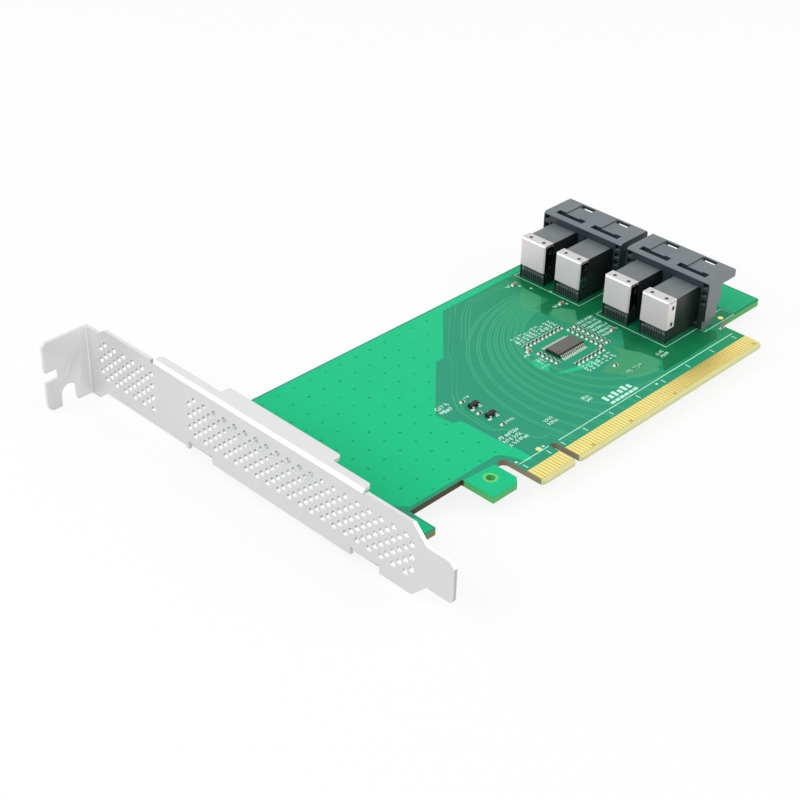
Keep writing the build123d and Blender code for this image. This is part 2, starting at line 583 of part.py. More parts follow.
def clock_chip_body():
    """The clock buffer's body with the dimple that marks its first lead."""
    body = moulded_body(CHIP_LENGTH, CHIP_WIDTH, CHIP_HEIGHT, CHIP_STANDOFF)
    top = CHIP_STANDOFF + CHIP_HEIGHT
    spot = Pos(-CHIP_LENGTH / 2 + CHIP_DIMPLE_INSET, -CHIP_WIDTH / 2 + CHIP_DIMPLE_INSET, top)
    body -= spot * extrude(RegularPolygon(CHIP_DIMPLE_RADIUS, CHIP_DIMPLE_SIDES), -CHIP_DIMPLE_DEPTH)
    return Pos(CHIP_X, CHIP_Y) * body


def clock_chip_leads():
    """Fourteen gull-wing leads along each long side of the clock buffer."""
    leads = []
    level = CHIP_STANDOFF + (CHIP_HEIGHT - LEAD_THICKNESS) / 2
    lead = gull_lead(CHIP_WIDTH / 2, CHIP_LEAD_SPAN / 2, CHIP_LEAD_FOOT, level, CHIP_LEAD_WIDTH)
    first = -CHIP_LEAD_PITCH * (CHIP_LEADS_PER_SIDE - 1) / 2
    for turn in (90, -90):
        for i in range(CHIP_LEADS_PER_SIDE):
            leads.append(Pos(CHIP_X + first + CHIP_LEAD_PITCH * i, CHIP_Y) * Rot(0, 0, turn) * lead)
    return Compound(children=leads)


def transistor_bodies():
    """The two small transistor bodies."""
    body = moulded_body(TRANSISTOR_LENGTH, TRANSISTOR_WIDTH, TRANSISTOR_HEIGHT, TRANSISTOR_STANDOFF)
    return Compound(children=[Pos(x, y) * body for x, y in TRANSISTOR_SPOTS])


def transistor_leads():
    """Two leads on the near side of each transistor and one on its far side."""
    level = TRANSISTOR_STANDOFF + (TRANSISTOR_HEIGHT - LEAD_THICKNESS) / 2
    lead = gull_lead(TRANSISTOR_WIDTH / 2, TRANSISTOR_LEAD_SPAN / 2, TRANSISTOR_LEAD_FOOT, level,
                     TRANSISTOR_LEAD_WIDTH)
    places = ((-TRANSISTOR_LEAD_OFFSET, -90), (TRANSISTOR_LEAD_OFFSET, -90), (0, 90))
    return Compound(children=[
        Pos(x + shift, y) * Rot(0, 0, turn) * lead for x, y in TRANSISTOR_SPOTS for shift, turn in places])


def resistor_places():
    """Places of the chip resistors: rows and columns around the clock buffer, and lone ones."""
    places = [(UPPER_ROW[0] + UPPER_ROW_PITCH * i, UPPER_ROW[1], 90) for i in range(UPPER_ROW_COUNT)]
    places += [(LOWER_ROW[0] + LOWER_ROW_PITCH * i, LOWER_ROW[1], 90) for i in range(LOWER_ROW_COUNT)]
    places += [(LEFT_COLUMN[0], LEFT_COLUMN[1] - LEFT_COLUMN_PITCH * i, 0) for i in range(LEFT_COLUMN_COUNT)]
    for x, y in RIGHT_COLUMNS:
        places += [(x, y - RIGHT_COLUMN_PITCH * i, 0) for i in range(RIGHT_COLUMN_COUNT)]
    return places + [(x, y, 0) for x, y in LONE_RESISTORS]


def part_middles(places, growth):
    """The bodies of small two-ended parts, between their metal ends."""
    length = CHIP_PART_LENGTH + 2 * growth - 2 * END_CAP_LENGTH
    width = CHIP_PART_WIDTH + growth
    height = CHIP_PART_HEIGHT + growth
    body = block(-length / 2, length / 2, -width / 2, width / 2, END_CAP_GROWTH, height)
    return Compound(children=[Pos(x, y) * Rot(0, 0, turn) * body for x, y, turn in places])


def part_ends(places, growth):
    """The metal ends of small two-ended parts."""
    reach = CHIP_PART_LENGTH / 2 + growth
    half = (CHIP_PART_WIDTH + growth) / 2 + END_CAP_GROWTH
    top = CHIP_PART_HEIGHT + growth + END_CAP_GROWTH
    ends = [block(x0, x1, -half, half, 0, top) for x0, x1 in
            ((-reach, -reach + END_CAP_LENGTH), (reach - END_CAP_LENGTH, reach))]
    return Compound(children=[
        Pos(x, y) * Rot(0, 0, turn) * end for x, y, turn in places for end in ends])


def all_pieces():
    """Every piece of the card by its node name."""
    resistors = resistor_places()
    capacitors = [(x, y, 0) for x, y in CAPACITORS]
    pieces = {
        "circuit_board": circuit_board(),
        "mounting_bracket": mounting_bracket(),
        "edge_contacts_component_side": edge_contacts(0, 1, PRESENCE_PADS_COMPONENT_SIDE),
        "edge_contacts_solder_side": edge_contacts(-BOARD_THICKNESS, -1, PRESENCE_PADS_SOLDER_SIDE),
        "clock_chip_body": clock_chip_body(),
        "clock_chip_leads": clock_chip_leads(),
        "transistor_bodies": transistor_bodies(),
        "transistor_leads": transistor_leads(),
        "resistor_bodies": part_middles(resistors, 0),
        "resistor_ends": part_ends(resistors, 0),
        "capacitor_bodies": part_middles(capacitors, CAPACITOR_GROWTH),
        "capacitor_ends": part_ends(capacitors, CAPACITOR_GROWTH),
    }
    for name, (x, y) in zip(("upper", "lower"), EAR_HOLES):
        pieces[f"bracket_screw_{name}"] = bracket_screw(x, y)
    for number, center in enumerate(SHELL_CENTERS, start=1):
        pieces[f"port_shell_{number}"] = port_shell(center)
    for number, middle in enumerate(PORT_MIDDLES, start=1):
        pieces[f"port_{number}_contact_block"] = contact_block(middle)
        pieces[f"port_{number}_cap"] = metal_cap(middle)
        pieces[f"port_{number}_contacts"] = port_contacts(middle)
    return pieces


os.makedirs("parts", exist_ok=True)
for node_name, piece in all_pieces().items():
    export_step(piece, f"parts/{node_name}.step")
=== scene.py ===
import bpy
import bmesh
from math import radians, pi, cos, sin, atan2, hypot
from random import Random
from mathutils import Matrix, Vector
from mathutils.geometry import tessellate_polygon


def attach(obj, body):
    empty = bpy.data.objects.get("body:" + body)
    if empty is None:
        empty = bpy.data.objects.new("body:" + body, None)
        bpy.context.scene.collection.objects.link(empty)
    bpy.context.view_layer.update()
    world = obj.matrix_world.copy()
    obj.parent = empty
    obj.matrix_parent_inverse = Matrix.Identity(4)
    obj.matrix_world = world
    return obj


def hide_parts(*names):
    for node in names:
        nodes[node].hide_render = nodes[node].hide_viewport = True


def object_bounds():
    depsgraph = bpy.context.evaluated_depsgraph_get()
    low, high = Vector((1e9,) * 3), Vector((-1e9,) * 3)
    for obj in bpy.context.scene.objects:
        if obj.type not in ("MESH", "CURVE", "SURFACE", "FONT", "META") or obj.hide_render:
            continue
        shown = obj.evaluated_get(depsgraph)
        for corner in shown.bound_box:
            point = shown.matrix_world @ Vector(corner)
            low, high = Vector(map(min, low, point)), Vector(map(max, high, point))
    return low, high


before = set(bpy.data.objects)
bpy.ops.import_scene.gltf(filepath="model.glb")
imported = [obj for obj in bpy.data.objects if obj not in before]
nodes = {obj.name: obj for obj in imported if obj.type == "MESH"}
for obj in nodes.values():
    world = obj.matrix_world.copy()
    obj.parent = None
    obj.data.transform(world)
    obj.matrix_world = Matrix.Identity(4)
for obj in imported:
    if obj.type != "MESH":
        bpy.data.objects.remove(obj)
cad_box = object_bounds()
MM = 0.001

# The view: a long lens looks down on the card from its bracket end, over the edge fingers. Its place,
# direction and focal length are those at which the card's standard sizes fall where the photograph
# has them.
camera = bpy.data.objects.new("camera", bpy.data.cameras.new("camera"))
bpy.context.scene.collection.objects.link(camera)
heading, dip, lean = radians(43.781), radians(33.5576), radians(1.4789)
turn = (Matrix.Rotation(heading - pi / 2, 4, "Z") @ Matrix.Rotation(pi / 2 - dip, 4, "X")
        @ Matrix.Rotation(lean, 4, "Z"))
stand = Vector((-244.6825, -177.9889, 213.5047)) * MM
focal_pixels, picture_pixels = 1633.88, 800
camera.matrix_world = Matrix.Translation(stand) @ turn
camera.data.sensor_width = 36
camera.data.lens = camera.data.sensor_width * focal_pixels / picture_pixels
camera.data.clip_start = 0.01
camera.data.clip_end = 20
bpy.context.scene.camera = camera
bpy.context.scene.view_settings.view_transform = "Standard"


# The table: a white sweep that the card lies on, under a bright even tent of light, with one broad soft
# lamp over the bracket end and one beyond the fingers. The sheet shows nearly white and keeps a faint
# shadow.
class Wire:
    """A socket in a tree of nodes. Arithmetic on it adds Math nodes to the tree."""

    def __init__(self, tree, socket):
        self.tree, self.socket = tree, socket

    def math(self, operation, *values):
        return self.tree.node("ShaderNodeMath", {"operation": operation}, dict(enumerate(values)))

    def __add__(self, other):
        return self.math("ADD", self, other)

    def __radd__(self, other):
        return self.math("ADD", other, self)

    def __sub__(self, other):
        return self.math("SUBTRACT", self, other)

    def __rsub__(self, other):
        return self.math("SUBTRACT", other, self)

    def __mul__(self, other):
        return self.math("MULTIPLY", self, other)

    def __rmul__(self, other):
        return self.math("MULTIPLY", other, self)

    def __gt__(self, other):
        return self.math("GREATER_THAN", self, other)

    def __lt__(self, other):
        return self.math("LESS_THAN", self, other)

    def __abs__(self):
        return self.math("ABSOLUTE", self)

    def __or__(self, other):
        return self.math("MAXIMUM", self, other)

    def __and__(self, other):
        return self.math("MINIMUM", self, other)


class Tree:
    """A tree of nodes, each made by one method."""

    def __init__(self, tree):
        self.tree = tree

    def node(self, kind, settings=None, values=None, output=0):
        """Adds a node, sets it up, then fills its sockets; gives one of its outputs."""
        made = self.tree.nodes.new(kind)
        for key, value in (settings or {}).items():
            setattr(made, key, value)
        for key, value in (values or {}).items():
            self.fill(made.inputs[key], value)
        return Wire(self, made.outputs[output])

    def fill(self, socket, value):
        if isinstance(value, Wire):
            self.tree.links.new(value.socket, socket)
        elif hasattr(value, "__len__") and socket.type == "RGBA":
            socket.default_value = (*value[:3], 1)
        else:
            socket.default_value = value

    def parts(self, vector):
        """The three parts of a vector."""
        first = self.node("ShaderNodeSeparateXYZ", values={0: vector})
        return [Wire(self, output) for output in first.socket.node.outputs]


class Finish(Tree):
    """A material built from nodes, with a Principled shader and the fixed values it starts from. Its point
    is the object's own coordinates, in millimetres."""

    def __init__(self, name, **fixed):
        self.material = bpy.data.materials.new(name)
        self.material.use_nodes = True
        super().__init__(self.material.node_tree)
        self.shader = self.tree.nodes["Principled BSDF"]
        self.output = self.tree.nodes["Material Output"]
        for socket, value in fixed.items():
            self.shader.inputs[socket.replace("_", " ")].default_value = value
        own = self.node("ShaderNodeTexCoord", output="Object")
        self.point = self.node("ShaderNodeVectorMath", {"operation": "SCALE"}, {0: own, "Scale": 1 / MM})

    def set(self, socket, value):
        self.fill(self.shader.inputs[socket], value)

    def blend(self, mask, under, over):
        """A colour that is under where the mask is 0 and over where it is 1."""
        return self.node("ShaderNodeMix", {"data_type": "RGBA", "clamp_factor": True},
                         {0: mask, 6: under, 7: over}, 2)

    def facing(self):
        """How far the surface faces along each axis: 1 straight towards it, -1 straight away."""
        return self.parts(self.node("ShaderNodeNewGeometry", output="Normal"))

    def ramp(self, value, low, high, start=0.0, end=1.0):
        """Goes from start to end while the value goes from low to high."""
        return self.node("ShaderNodeMapRange", values={
            "Value": value, "From Min": low, "From Max": high, "To Min": start, "To Max": end})

    def stretched(self, *scales):
        """The point with its three axes scaled, which draws noise out along one of them."""
        return self.node("ShaderNodeVectorMath", {"operation": "MULTIPLY"}, {0: self.point, 1: scales})

    def noise(self, size, detail=3.0, where=None):
        """Cloudy noise whose lumps are about size millimetres across, from 0 to 1."""
        return self.node("ShaderNodeTexNoise", values={
            "Vector": where or self.point, "Scale": 1 / size, "Detail": detail})

    def mottle(self, size, one, other, detail=3.0):
        """Paints the surface in soft patches of two colours, about size millimetres across."""
        self.set("Base Color", self.blend(self.noise(size, detail), one, other))

    def bump(self, height, depth):
        """Gives the surface a relief: height is 0 to 1, depth is its size in millimetres."""
        self.set("Normal", self.node("ShaderNodeBump", values={
            "Height": height, "Distance": depth * MM, "Strength": 1.0}))


def srgb(red, green, blue):
    """Display values from 0 to 255 as the linear colour that shows so."""
    parts = [part / 255 for part in (red, green, blue)]
    return tuple(part / 12.92 if part <= 0.04045 else ((part + 0.055) / 1.055) ** 2.4 for part in parts)


SWEEP_REACH = 4  # metres to each side
OWN_LIGHT = 0.86  # how far the camera sees the sheet shine by itself
TENT_ON_CARD, TENT_TO_EYE = 0.62, 1.0
ground_level = cad_box[0][2]
sweep_mesh = bpy.data.meshes.new("sweep")
sweep_form = bmesh.new()
bmesh.ops.create_grid(sweep_form, x_segments=1, y_segments=1, size=SWEEP_REACH)
sweep_form.to_mesh(sweep_mesh)
sweep_form.free()
sweep = bpy.data.objects.new("sweep", sweep_mesh)
sweep.location.z = ground_level
bpy.context.scene.collection.objects.link(sweep)
paper = Finish("paper", Roughness=0.9)
paper.set("Base Color", (0.88, 0.88, 0.88))
seen = [paper.node("ShaderNodeLightPath", output=name)
        for name in ("Is Camera Ray", "Is Glossy Ray", "Is Transmission Ray")]
glow = paper.node("ShaderNodeEmission", values={"Color": (1, 1, 1), "Strength": 1.0})
matt = Wire(paper, paper.shader.outputs[0])
share = (seen[0] | seen[1] | seen[2]) * OWN_LIGHT
mixed = paper.node("ShaderNodeMixShader", values={0: share, 1: matt, 2: glow})
paper.fill(paper.output.inputs[0], mixed)
sweep.data.materials.append(paper.material)

world = bpy.data.worlds.new("tent")
world.use_nodes = True
bpy.context.scene.world = world
sky = Tree(world.node_tree)
to_eye, by_gloss = [sky.node("ShaderNodeLightPath", output=name)
                    for name in ("Is Camera Ray", "Is Glossy Ray")]
strength = sky.node("ShaderNodeMapRange", values={
    "Value": to_eye | by_gloss, "To Min": TENT_ON_CARD, "To Max": TENT_TO_EYE})
tent = sky.tree.nodes["Background"]
sky.fill(tent.inputs["Color"], (1, 1, 1))
sky.fill(tent.inputs["Strength"], strength)


CARD_MIDDLE = Vector((10, 35, 0)) * MM


def soft_lamp(name, place, size, power):
    """A square area lamp at a place in millimetres, aimed at the middle of the card."""
    lamp = bpy.data.objects.new(name, bpy.data.lights.new(name, "AREA"))
    lamp.data.size = size * MM
    lamp.data.energy = power
    spot = Vector(place) * MM
    aim = CARD_MIDDLE - spot
    lamp.matrix_world = Matrix.Translation(spot) @ aim.to_track_quat("-Z", "Y").to_matrix().to_4x4()
    bpy.context.scene.collection.objects.link(lamp)


soft_lamp("over_bracket_lamp", (-650, 250, 620), 600, 4.2)
soft_lamp("finger_side_lamp", (420, -420, 560), 500, 1.9)


# The circuit board: glass laminate under green solder mask, with bare cut edges. The sawn edges are
# dark, the routed hook keeps green mask on its rim and the bevelled finger edge shows pale resin.
def clad(node, finish):
    """Gives an object, or a node of the frame, one finish."""
    thing = nodes[node] if isinstance(node, str) else node
    for slot in thing.material_slots:
        slot.material = finish.material
    if not thing.material_slots:
        thing.data.materials.append(finish.material)


TONGUE_LEFT, TONGUE_RIGHT = -13.2, 74.6
BEVEL_FACE, BEVEL_EDGE, FINGERS_END = 0.85, 0.9, 5.15
HOOK_LEFT, HOOK_RIGHT, HOOK_TOP = -25.2, -15.4, 12.4
BRACKET_FOOT_RIGHT, BRACKET_FOOT_TOP = -41.0, 13.0
PAST_HOOK, PAST_TONGUE = -15.6, 75.5
mask = Finish("solder_mask", Roughness=0.38, Specular_IOR_Level=0.12, Specular_Tint=(0.4, 1.0, 0.7, 1))
x, y = mask.parts(mask.point)[:2]
teal = mask.blend(mask.noise(9.0), srgb(34, 144, 108), srgb(50, 154, 124))
teal = mask.blend(mask.ramp(x, 20, 75), teal, srgb(28, 148, 98))
on_tongue = (x > TONGUE_LEFT) & (x < TONGUE_RIGHT)
at_hook = (x > HOOK_LEFT) & (x < HOOK_RIGHT) & (y < HOOK_TOP)
resin = mask.blend(mask.noise(0.5, 4.0), srgb(204, 204, 144), srgb(222, 221, 164))
top = mask.blend((y < FINGERS_END) & on_tongue, teal, srgb(206, 176, 88))
top = mask.blend((y < BEVEL_FACE) & on_tongue, top, resin)
sawn = mask.blend(mask.noise(0.5, 4.0), srgb(58, 50, 34), srgb(96, 84, 60))
sawn = mask.blend(x > PAST_HOOK, sawn, srgb(142, 134, 112))
sawn = mask.blend(at_hook, sawn, srgb(88, 184, 104))
sawn = mask.blend((x < BRACKET_FOOT_RIGHT) & (y < BRACKET_FOOT_TOP), sawn, srgb(126, 132, 86))
sawn = mask.blend(x > PAST_TONGUE, sawn, srgb(92, 176, 100))
sawn = mask.blend((y < BEVEL_EDGE) & on_tongue, sawn, resin)
on_edge = abs(mask.facing()[2]) < 0.5
mask.set("Base Color", mask.blend(on_edge, top, sawn))
mask.bump(mask.noise(0.35), 0.004)
clad("circuit_board", mask)


# Copper under the mask: one bright pour over the bracket end, the top edge and the rear, on both sides of
# the board, and thinner inner planes that show as deep green and pale green fields around the ports and
# the clock buffer. Two deep green strips along the clock buffer's sides are painted shade between its leads.
def add_plate(form, outline, high, holes=(), low=0.0):
    """A flat plate in millimetres. Its outline runs anticlockwise, seen from above, its holes clockwise."""
    loops = [outline, *holes]
    flat = [[Vector((px, py, 0)) for px, py in loop] for loop in loops]
    lower, upper = [[form.verts.new((spot.x * MM, spot.y * MM, level * MM)) for loop in flat for spot in loop]
                    for level in (low, high)]
    for corners in tessellate_polygon(flat):
        a, b, c = [lower[i].co for i in corners]
        if (b - a).cross(c - a).z < 0:
            corners = corners[::-1]
        form.faces.new([upper[i] for i in corners])
        form.faces.new([lower[i] for i in corners[::-1]])
    start = 0
    for loop in loops:
        for i in range(len(loop)):
            j = (i + 1) % len(loop)
            a, b = start + i, start + j
            form.faces.new((lower[a], lower[b], upper[b], upper[a]))
        start += len(loop)


def circle(px, py, radius, sides, way=1):
    """Points round a circle, anticlockwise, or clockwise where the way is -1."""
    turns = [way * 2 * pi * i / sides for i in range(sides)]
    return [(px + radius * cos(turn), py + radius * sin(turn)) for turn in turns]


def add_bar(form, x0, y0, x1, y1, high):
    add_plate(form, ((x0, y0), (x1, y0), (x1, y1), (x0, y1)), high)


def add_ring(form, px, py, radius, hole, low, high, sides=40):
    """A flat ring round a hole, in millimetres."""
    outer, inner = circle(px, py, radius, sides), circle(px, py, hole, sides)
    for i in range(sides):
        j = (i + 1) % sides
        add_plate(form, (outer[i], outer[j], inner[j], inner[i]), high, low=low)


def piece(name, form, finish, slot, *stands_for):
    """Turns a form into a piece of the card with its finish, in place of the nodes it stands for. The slot is
    not used.
    """
    mesh = bpy.data.meshes.new(name)
    form.to_mesh(mesh)
    form.free()
    thing = bpy.data.objects.new(name, mesh)
    bpy.context.scene.collection.objects.link(thing)
    clad(thing, finish)
    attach(thing, "root")
    if stands_for:
        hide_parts(*stands_for)


BOARD_THICKNESS = 1.57
BOARD_LEFT, BOARD_REAR, BOARD_TOP = -55, 90.4, 68.9
RIM = 0.5
POUR_TOP, PALE_TOP, DEEP_TOP, SHADE_STRIP_TOP = 0.016, 0.012, 0.008, 0.012
HOLE_SIDES = 32
CHIP_MIDDLE = 32.85
border = ((51.4, 66.5), (25.4, 66.3), (23.5, 64.6), (8.6, 50.3), (6.3, 50.6), (-10.9, 34.5),
          (-10.3, 29.6), (-8.3, 28.7), (-7.8, 17.1), (-7.2, 11.6), (-7.3, 8.5), (-7.8, 7.3))
left, rear, top_edge = BOARD_LEFT + RIM, BOARD_REAR - RIM, BOARD_TOP - RIM
outline = [(left, 17.4), (-43.4, 17.4), (-40.4, 14.1), (-26.0, 14.0), (-15.3, 14.0), (-13.0, 13.9),
           (-11.9, 13.4), (-10.9, 11.9), (-10.1, 9.6), (-9.4, 7.8), *border[::-1],
           (79.4, 66.5), (79.4, 13.7), (rear, 13.7), (rear, top_edge), (left, top_edge)]
pour_form = bmesh.new()
add_plate(pour_form, outline, POUR_TOP, [circle(-46.2, 63.1, 1.6, HOLE_SIDES, -1)])
add_plate(pour_form, ((left, 5.4), (-42.1, 5.4), (-42.1, 10.6), (left, 10.6)), POUR_TOP)
add_plate(pour_form, ((-24.9, 3.7), (-17.2, 3.7), (-15.6, 5.3), (-15.6, 11.9), (-24.9, 12.6)), POUR_TOP,
          [circle(-19.9, 9.1, 1.1, HOLE_SIDES, -1)])


def turned_over(form):
    """A copy of a form on the component side that lies on the solder side."""
    other = form.copy()
    for vert in other.verts:
        vert.co.z = -BOARD_THICKNESS * MM - vert.co.z
    bmesh.ops.reverse_faces(other, faces=other.faces)
    return other


back_form = turned_over(pour_form)
add_plate(pour_form, ((23.6, 35.1), (22.2, 32.7), (22.1, 30.3), (23.3, 28.5), (24.9, 30.1), (25.0, 33.1)),
          POUR_TOP)
add_plate(pour_form, ((23.4, 26.6), (25.5, 25.2), (29.0, 23.7), (32.6, 22.8), (36.4, 22.4), (33.3, 24.5),
                      (30.1, 25.2), (26.5, 26.1)), POUR_TOP)
pour = Finish("masked_copper", Roughness=0.4, Specular_IOR_Level=0.1, Specular_Tint=(0.4, 1.0, 0.7, 1))
x = pour.parts(pour.point)[0]
broad = pour.blend(pour.ramp(x, -30, 40), srgb(24, 193, 134), srgb(36, 197, 140))
pour.mottle(6.0, broad, srgb(28, 189, 130))
pour.bump(pour.noise(0.6), 0.004)
piece("copper_pour", pour_form, pour, "circuit_board")
piece("solder_side_pour", back_form, pour, "circuit_board")

deep_form = bmesh.new()
add_plate(deep_form, ((43.1, 45.9), (46.8, 47.3), (48.9, 46.0), (50.6, 43.0), (47.0, 39.2), (52.0, 38.6),
                      (66.0, 38.6), (66.0, 66.0), (53.0, 66.0), (51.2, 62.8), (49.6, 59.6), (49.5, 53.7),
                      (43.3, 48.6)), DEEP_TOP)
add_plate(deep_form, ((43.5, 9.2), (65.8, 9.2), (69.1, 11.9), (66.2, 14.0), (66.0, 38.4), (52.0, 38.4),
                      (51.0, 30.0), (51.5, 28.4), (44.4, 21.9), (46.4, 18.7), (47.4, 12.6)), DEEP_TOP)
# Two deep green strips along the clock buffer's sides, under its leads: painted shade between the leads.
for side in (1, -1):
    near, far = sorted((CHIP_MIDDLE + side * 1.9, CHIP_MIDDLE + side * 3.0))
    add_bar(deep_form, 29.4, near, 38.8, far, SHADE_STRIP_TOP)
deep = Finish("deep_plane", Roughness=0.38, Specular_IOR_Level=0.16, Specular_Tint=(0.3, 1.0, 0.6, 1))
deep.mottle(4.0, srgb(6, 96, 54), srgb(24, 130, 84))
deep.bump(deep.noise(0.5), 0.004)
piece("deep_plane", deep_form, deep, "circuit_board")

pale_form = bmesh.new()
add_plate(pale_form, ((43.3, 48.6), (49.5, 53.7), (49.4, 60.2), (43.9, 56.4), (41.3, 53.2), (41.7, 50.8)),
          PALE_TOP)
add_plate(pale_form, ((45.1, 37.9), (50.6, 43.0), (48.9, 46.0), (46.7, 47.3), (44.5, 46.5), (43.5, 42.2)),
          PALE_TOP)
add_plate(pale_form, ((31.9, 19.8), (36.8, 11.6), (42.6, 10.0), (46.8, 13.0), (46.2, 18.7), (43.6, 24.0),
                      (43.8, 25.6), (42.0, 21.4)), PALE_TOP)
pale = Finish("pale_plane", Roughness=0.4, Specular_IOR_Level=0.16, Specular_Tint=(0.5, 1.0, 0.7, 1))
pale.mottle(3.0, srgb(58, 152, 100), srgb(72, 156, 114))
pale.bump(pale.noise(0.5), 0.004)
piece("pale_plane", pale_form, pale, "circuit_board")


# The traces: fine copper lines under the mask that fan out from the ports, run round the clock buffer in
# wide arcs, in pairs, and end at the edge fingers. A few more lines follow the pour's border.
def add_ribbon(form, points, width, high):
    """A flat line of one width along a path in millimetres, on the board's top."""
    sides = ([], [])
    last = len(points) - 1
    for i, (px, py) in enumerate(points):
        ax, ay = points[max(i - 1, 0)]
        bx, by = points[min(i + 1, last)]
        length = hypot(bx - ax, by - ay)
        nx, ny = -(by - ay) / length * width / 2, (bx - ax) / length * width / 2
        for side, sign in zip(sides, (1, -1)):
            side.append([form.verts.new(((px + sign * nx) * MM, (py + sign * ny) * MM, level * MM))
                         for level in (0, high)])
    left, right = sides
    for i in range(last):
        a, b, c, d = right[i], right[i + 1], left[i + 1], left[i]
        form.faces.new((a[1], b[1], c[1], d[1]))
        form.faces.new((a[0], d[0], c[0], b[0]))
        form.faces.new((a[0], b[0], b[1], a[1]))
        form.faces.new((d[0], d[1], c[1], c[0]))
    form.faces.new((left[0][0], right[0][0], right[0][1], left[0][1]))
    form.faces.new((right[-1][0], left[-1][0], left[-1][1], right[-1][1]))


TRACE_TOP, TRACE_WIDTH = 0.02, 0.24
FINGER_LINE = 5.6  # where the lines meet the fingers
FIRST_ARC, ARC_PITCH, ARCS, PAIR_GAP = 19.1, 2.75, 8, 0.62
ARCS_X, ARCS_X_MOST, ARCS_Y = 42.2, 44.6, 20.6  # the middles of the arcs
CENTRED_ARC, MIDDLE_DRIFT = 37.7, 0.52  # smaller arcs than this have their middles further in
PORT_LINE, TOP_LINE = 51.0, 59.5  # where the arcs meet the ports, if they rise no higher than the second
ARC_START, HIGH_ARC_START, ARC_STEP, ARC_END, STEEP_END = 90, 104, 4, 268, 250  # degrees
trace_form = bmesh.new()
for k in range(ARCS):
    radius = FIRST_ARC + ARC_PITCH * k
    drift = max(CENTRED_ARC - radius, 0) * MIDDLE_DRIFT
    middle_x, middle_y = min(ARCS_X + drift, ARCS_X_MOST), ARCS_Y + drift
    for gap in (0.0, PAIR_GAP):
        r = radius + gap
        at_ports = middle_y + r < TOP_LINE
        path = [(PORT_LINE, middle_y + r), (middle_x + 3, middle_y + r)] if at_ports else []
        turn = ARC_START if at_ports else HIGH_ARC_START
        while turn < ARC_END:
            px, py = middle_x + r * cos(radians(turn)), middle_y + r * sin(radians(turn))
            if py < FINGER_LINE + 3 and turn > 180:
                break
            path.append((px, py))
            turn += ARC_STEP
        px, py = path[-1]
        if turn < STEEP_END:
            path.append((px + 0.6, FINGER_LINE))
        else:
            path += [(px + 6 + 0.6 * k, py - 0.6), (px + 11, py - 2.2)]
        add_ribbon(trace_form, path, TRACE_WIDTH, TRACE_TOP)
for k in range(9):
    start = 9.6 + 0.85 * k
    path = [(70.0 - 1.2 * k, start + 0.5), (61.5 - k, start), (50.0, start * 0.9 + 1.2)]
    add_ribbon(trace_form, path, TRACE_WIDTH, TRACE_TOP + 0.004)
inset = [(29.6, 67.1), (19.5, 58.7), (11.6, 51.6), (9.0, 47.8), (3.7, 42.8), (-1.8, 37.7), (-5.5, 32.4),
         (-6.2, 26.2), (-6.2, 21.6), (-2.8, 18.4), (-1.4, 12.6), (0.6, 11.2), (2.6, 11.2), (4.2, FINGER_LINE)]
add_ribbon(trace_form, inset, 0.3, TRACE_TOP + 0.006)
add_ribbon(trace_form, [(px + 0.9, py - 0.7) for px, py in inset[:-2]], 0.22, TRACE_TOP + 0.008)
for k in range(3):
    shift = 0.8 + 0.7 * k
    path = [(52.0, 66.4 - 1.2 * shift), (33.0, 65.9 - 1.2 * shift), (26.0 + shift, 61.8 - shift),
            (17.4 + shift, 54.0 - shift)]
    add_ribbon(trace_form, path, 0.2, TRACE_TOP + 0.01)
trace = Finish("masked_traces", Roughness=0.4, Specular_IOR_Level=0.16, Specular_Tint=(0.4, 1.0, 0.7, 1))
x, y = trace.parts(trace.point)[:2]
by_border = (y - x > 36.6) & (y > 38)
by_ports = (x > 49.5) | ((x > 43.6) & (y < 51))
faint = trace.blend(trace.noise(12.0, 2.0), srgb(56, 168, 122), srgb(76, 182, 132))
faint = trace.blend(by_border, faint, srgb(50, 160, 118))
trace.set("Base Color", trace.blend(by_ports, faint, srgb(20, 122, 76)))
trace.bump(trace.noise(0.5), 0.003)
piece("traces", trace_form, trace, "circuit_board")


# Stitching vias: a square lattice of small tented holes that ties the pour to the planes below and shows on
# both sides of the board. Each is the same small disc, set on a grid by a node tree and kept only inside
# the pour.
vias = Tree(bpy.data.node_groups.new("via_lattice", "GeometryNodeTree"))
vias.tree.interface.new_socket("Geometry", in_out="OUTPUT", socket_type="NodeSocketGeometry")
named = {}
for label, kind, value in (
        ("Pitch", "Float", 5.06 * MM), ("Columns", "Int", 12), ("Rows", "Int", 11),
        ("First X", "Float", -37.1 * MM), ("First Y", "Float", 15.0 * MM), ("Border Slope", "Float", 1.06),
        ("Border Offset", "Float", -48.8 * MM), ("Border Left", "Float", -11.2 * MM),
        ("Radius", "Float", 0.34 * MM), ("Height", "Float", 0.022 * MM), ("Least Scale", "Float", 0.75),
        ("Most Scale", "Float", 1.1), ("Seed", "Int", 5), ("Finish", "Material", None)):
    socket = vias.tree.interface.new_socket(label, in_out="INPUT", socket_type="NodeSocket" + kind)
    named[label] = (socket.identifier, value)
entry = vias.node("NodeGroupInput").socket.node
given = {label: Wire(vias, entry.outputs[label]) for label in named}
spread_x, spread_y = [given["Pitch"] * (given[count] - 1) for count in ("Columns", "Rows")]
lattice = vias.node("GeometryNodeMeshGrid", values={
    "Size X": spread_x, "Size Y": spread_y, "Vertices X": given["Columns"], "Vertices Y": given["Rows"]})
shift = vias.node("ShaderNodeCombineXYZ", values={
    0: spread_x * 0.5 + given["First X"], 1: spread_y * 0.5 + given["First Y"]})
moved = vias.node("GeometryNodeTransform", values={"Geometry": lattice, "Translation": shift})
x, y = vias.parts(vias.node("GeometryNodeInputPosition"))[:2]
slope = y * given["Border Slope"] + given["Border Offset"]
kept = x < slope.math("MAXIMUM", slope, given["Border Left"])
disc = vias.node("GeometryNodeMeshCylinder", values={
    "Vertices": 10, "Radius": given["Radius"], "Depth": given["Height"]})
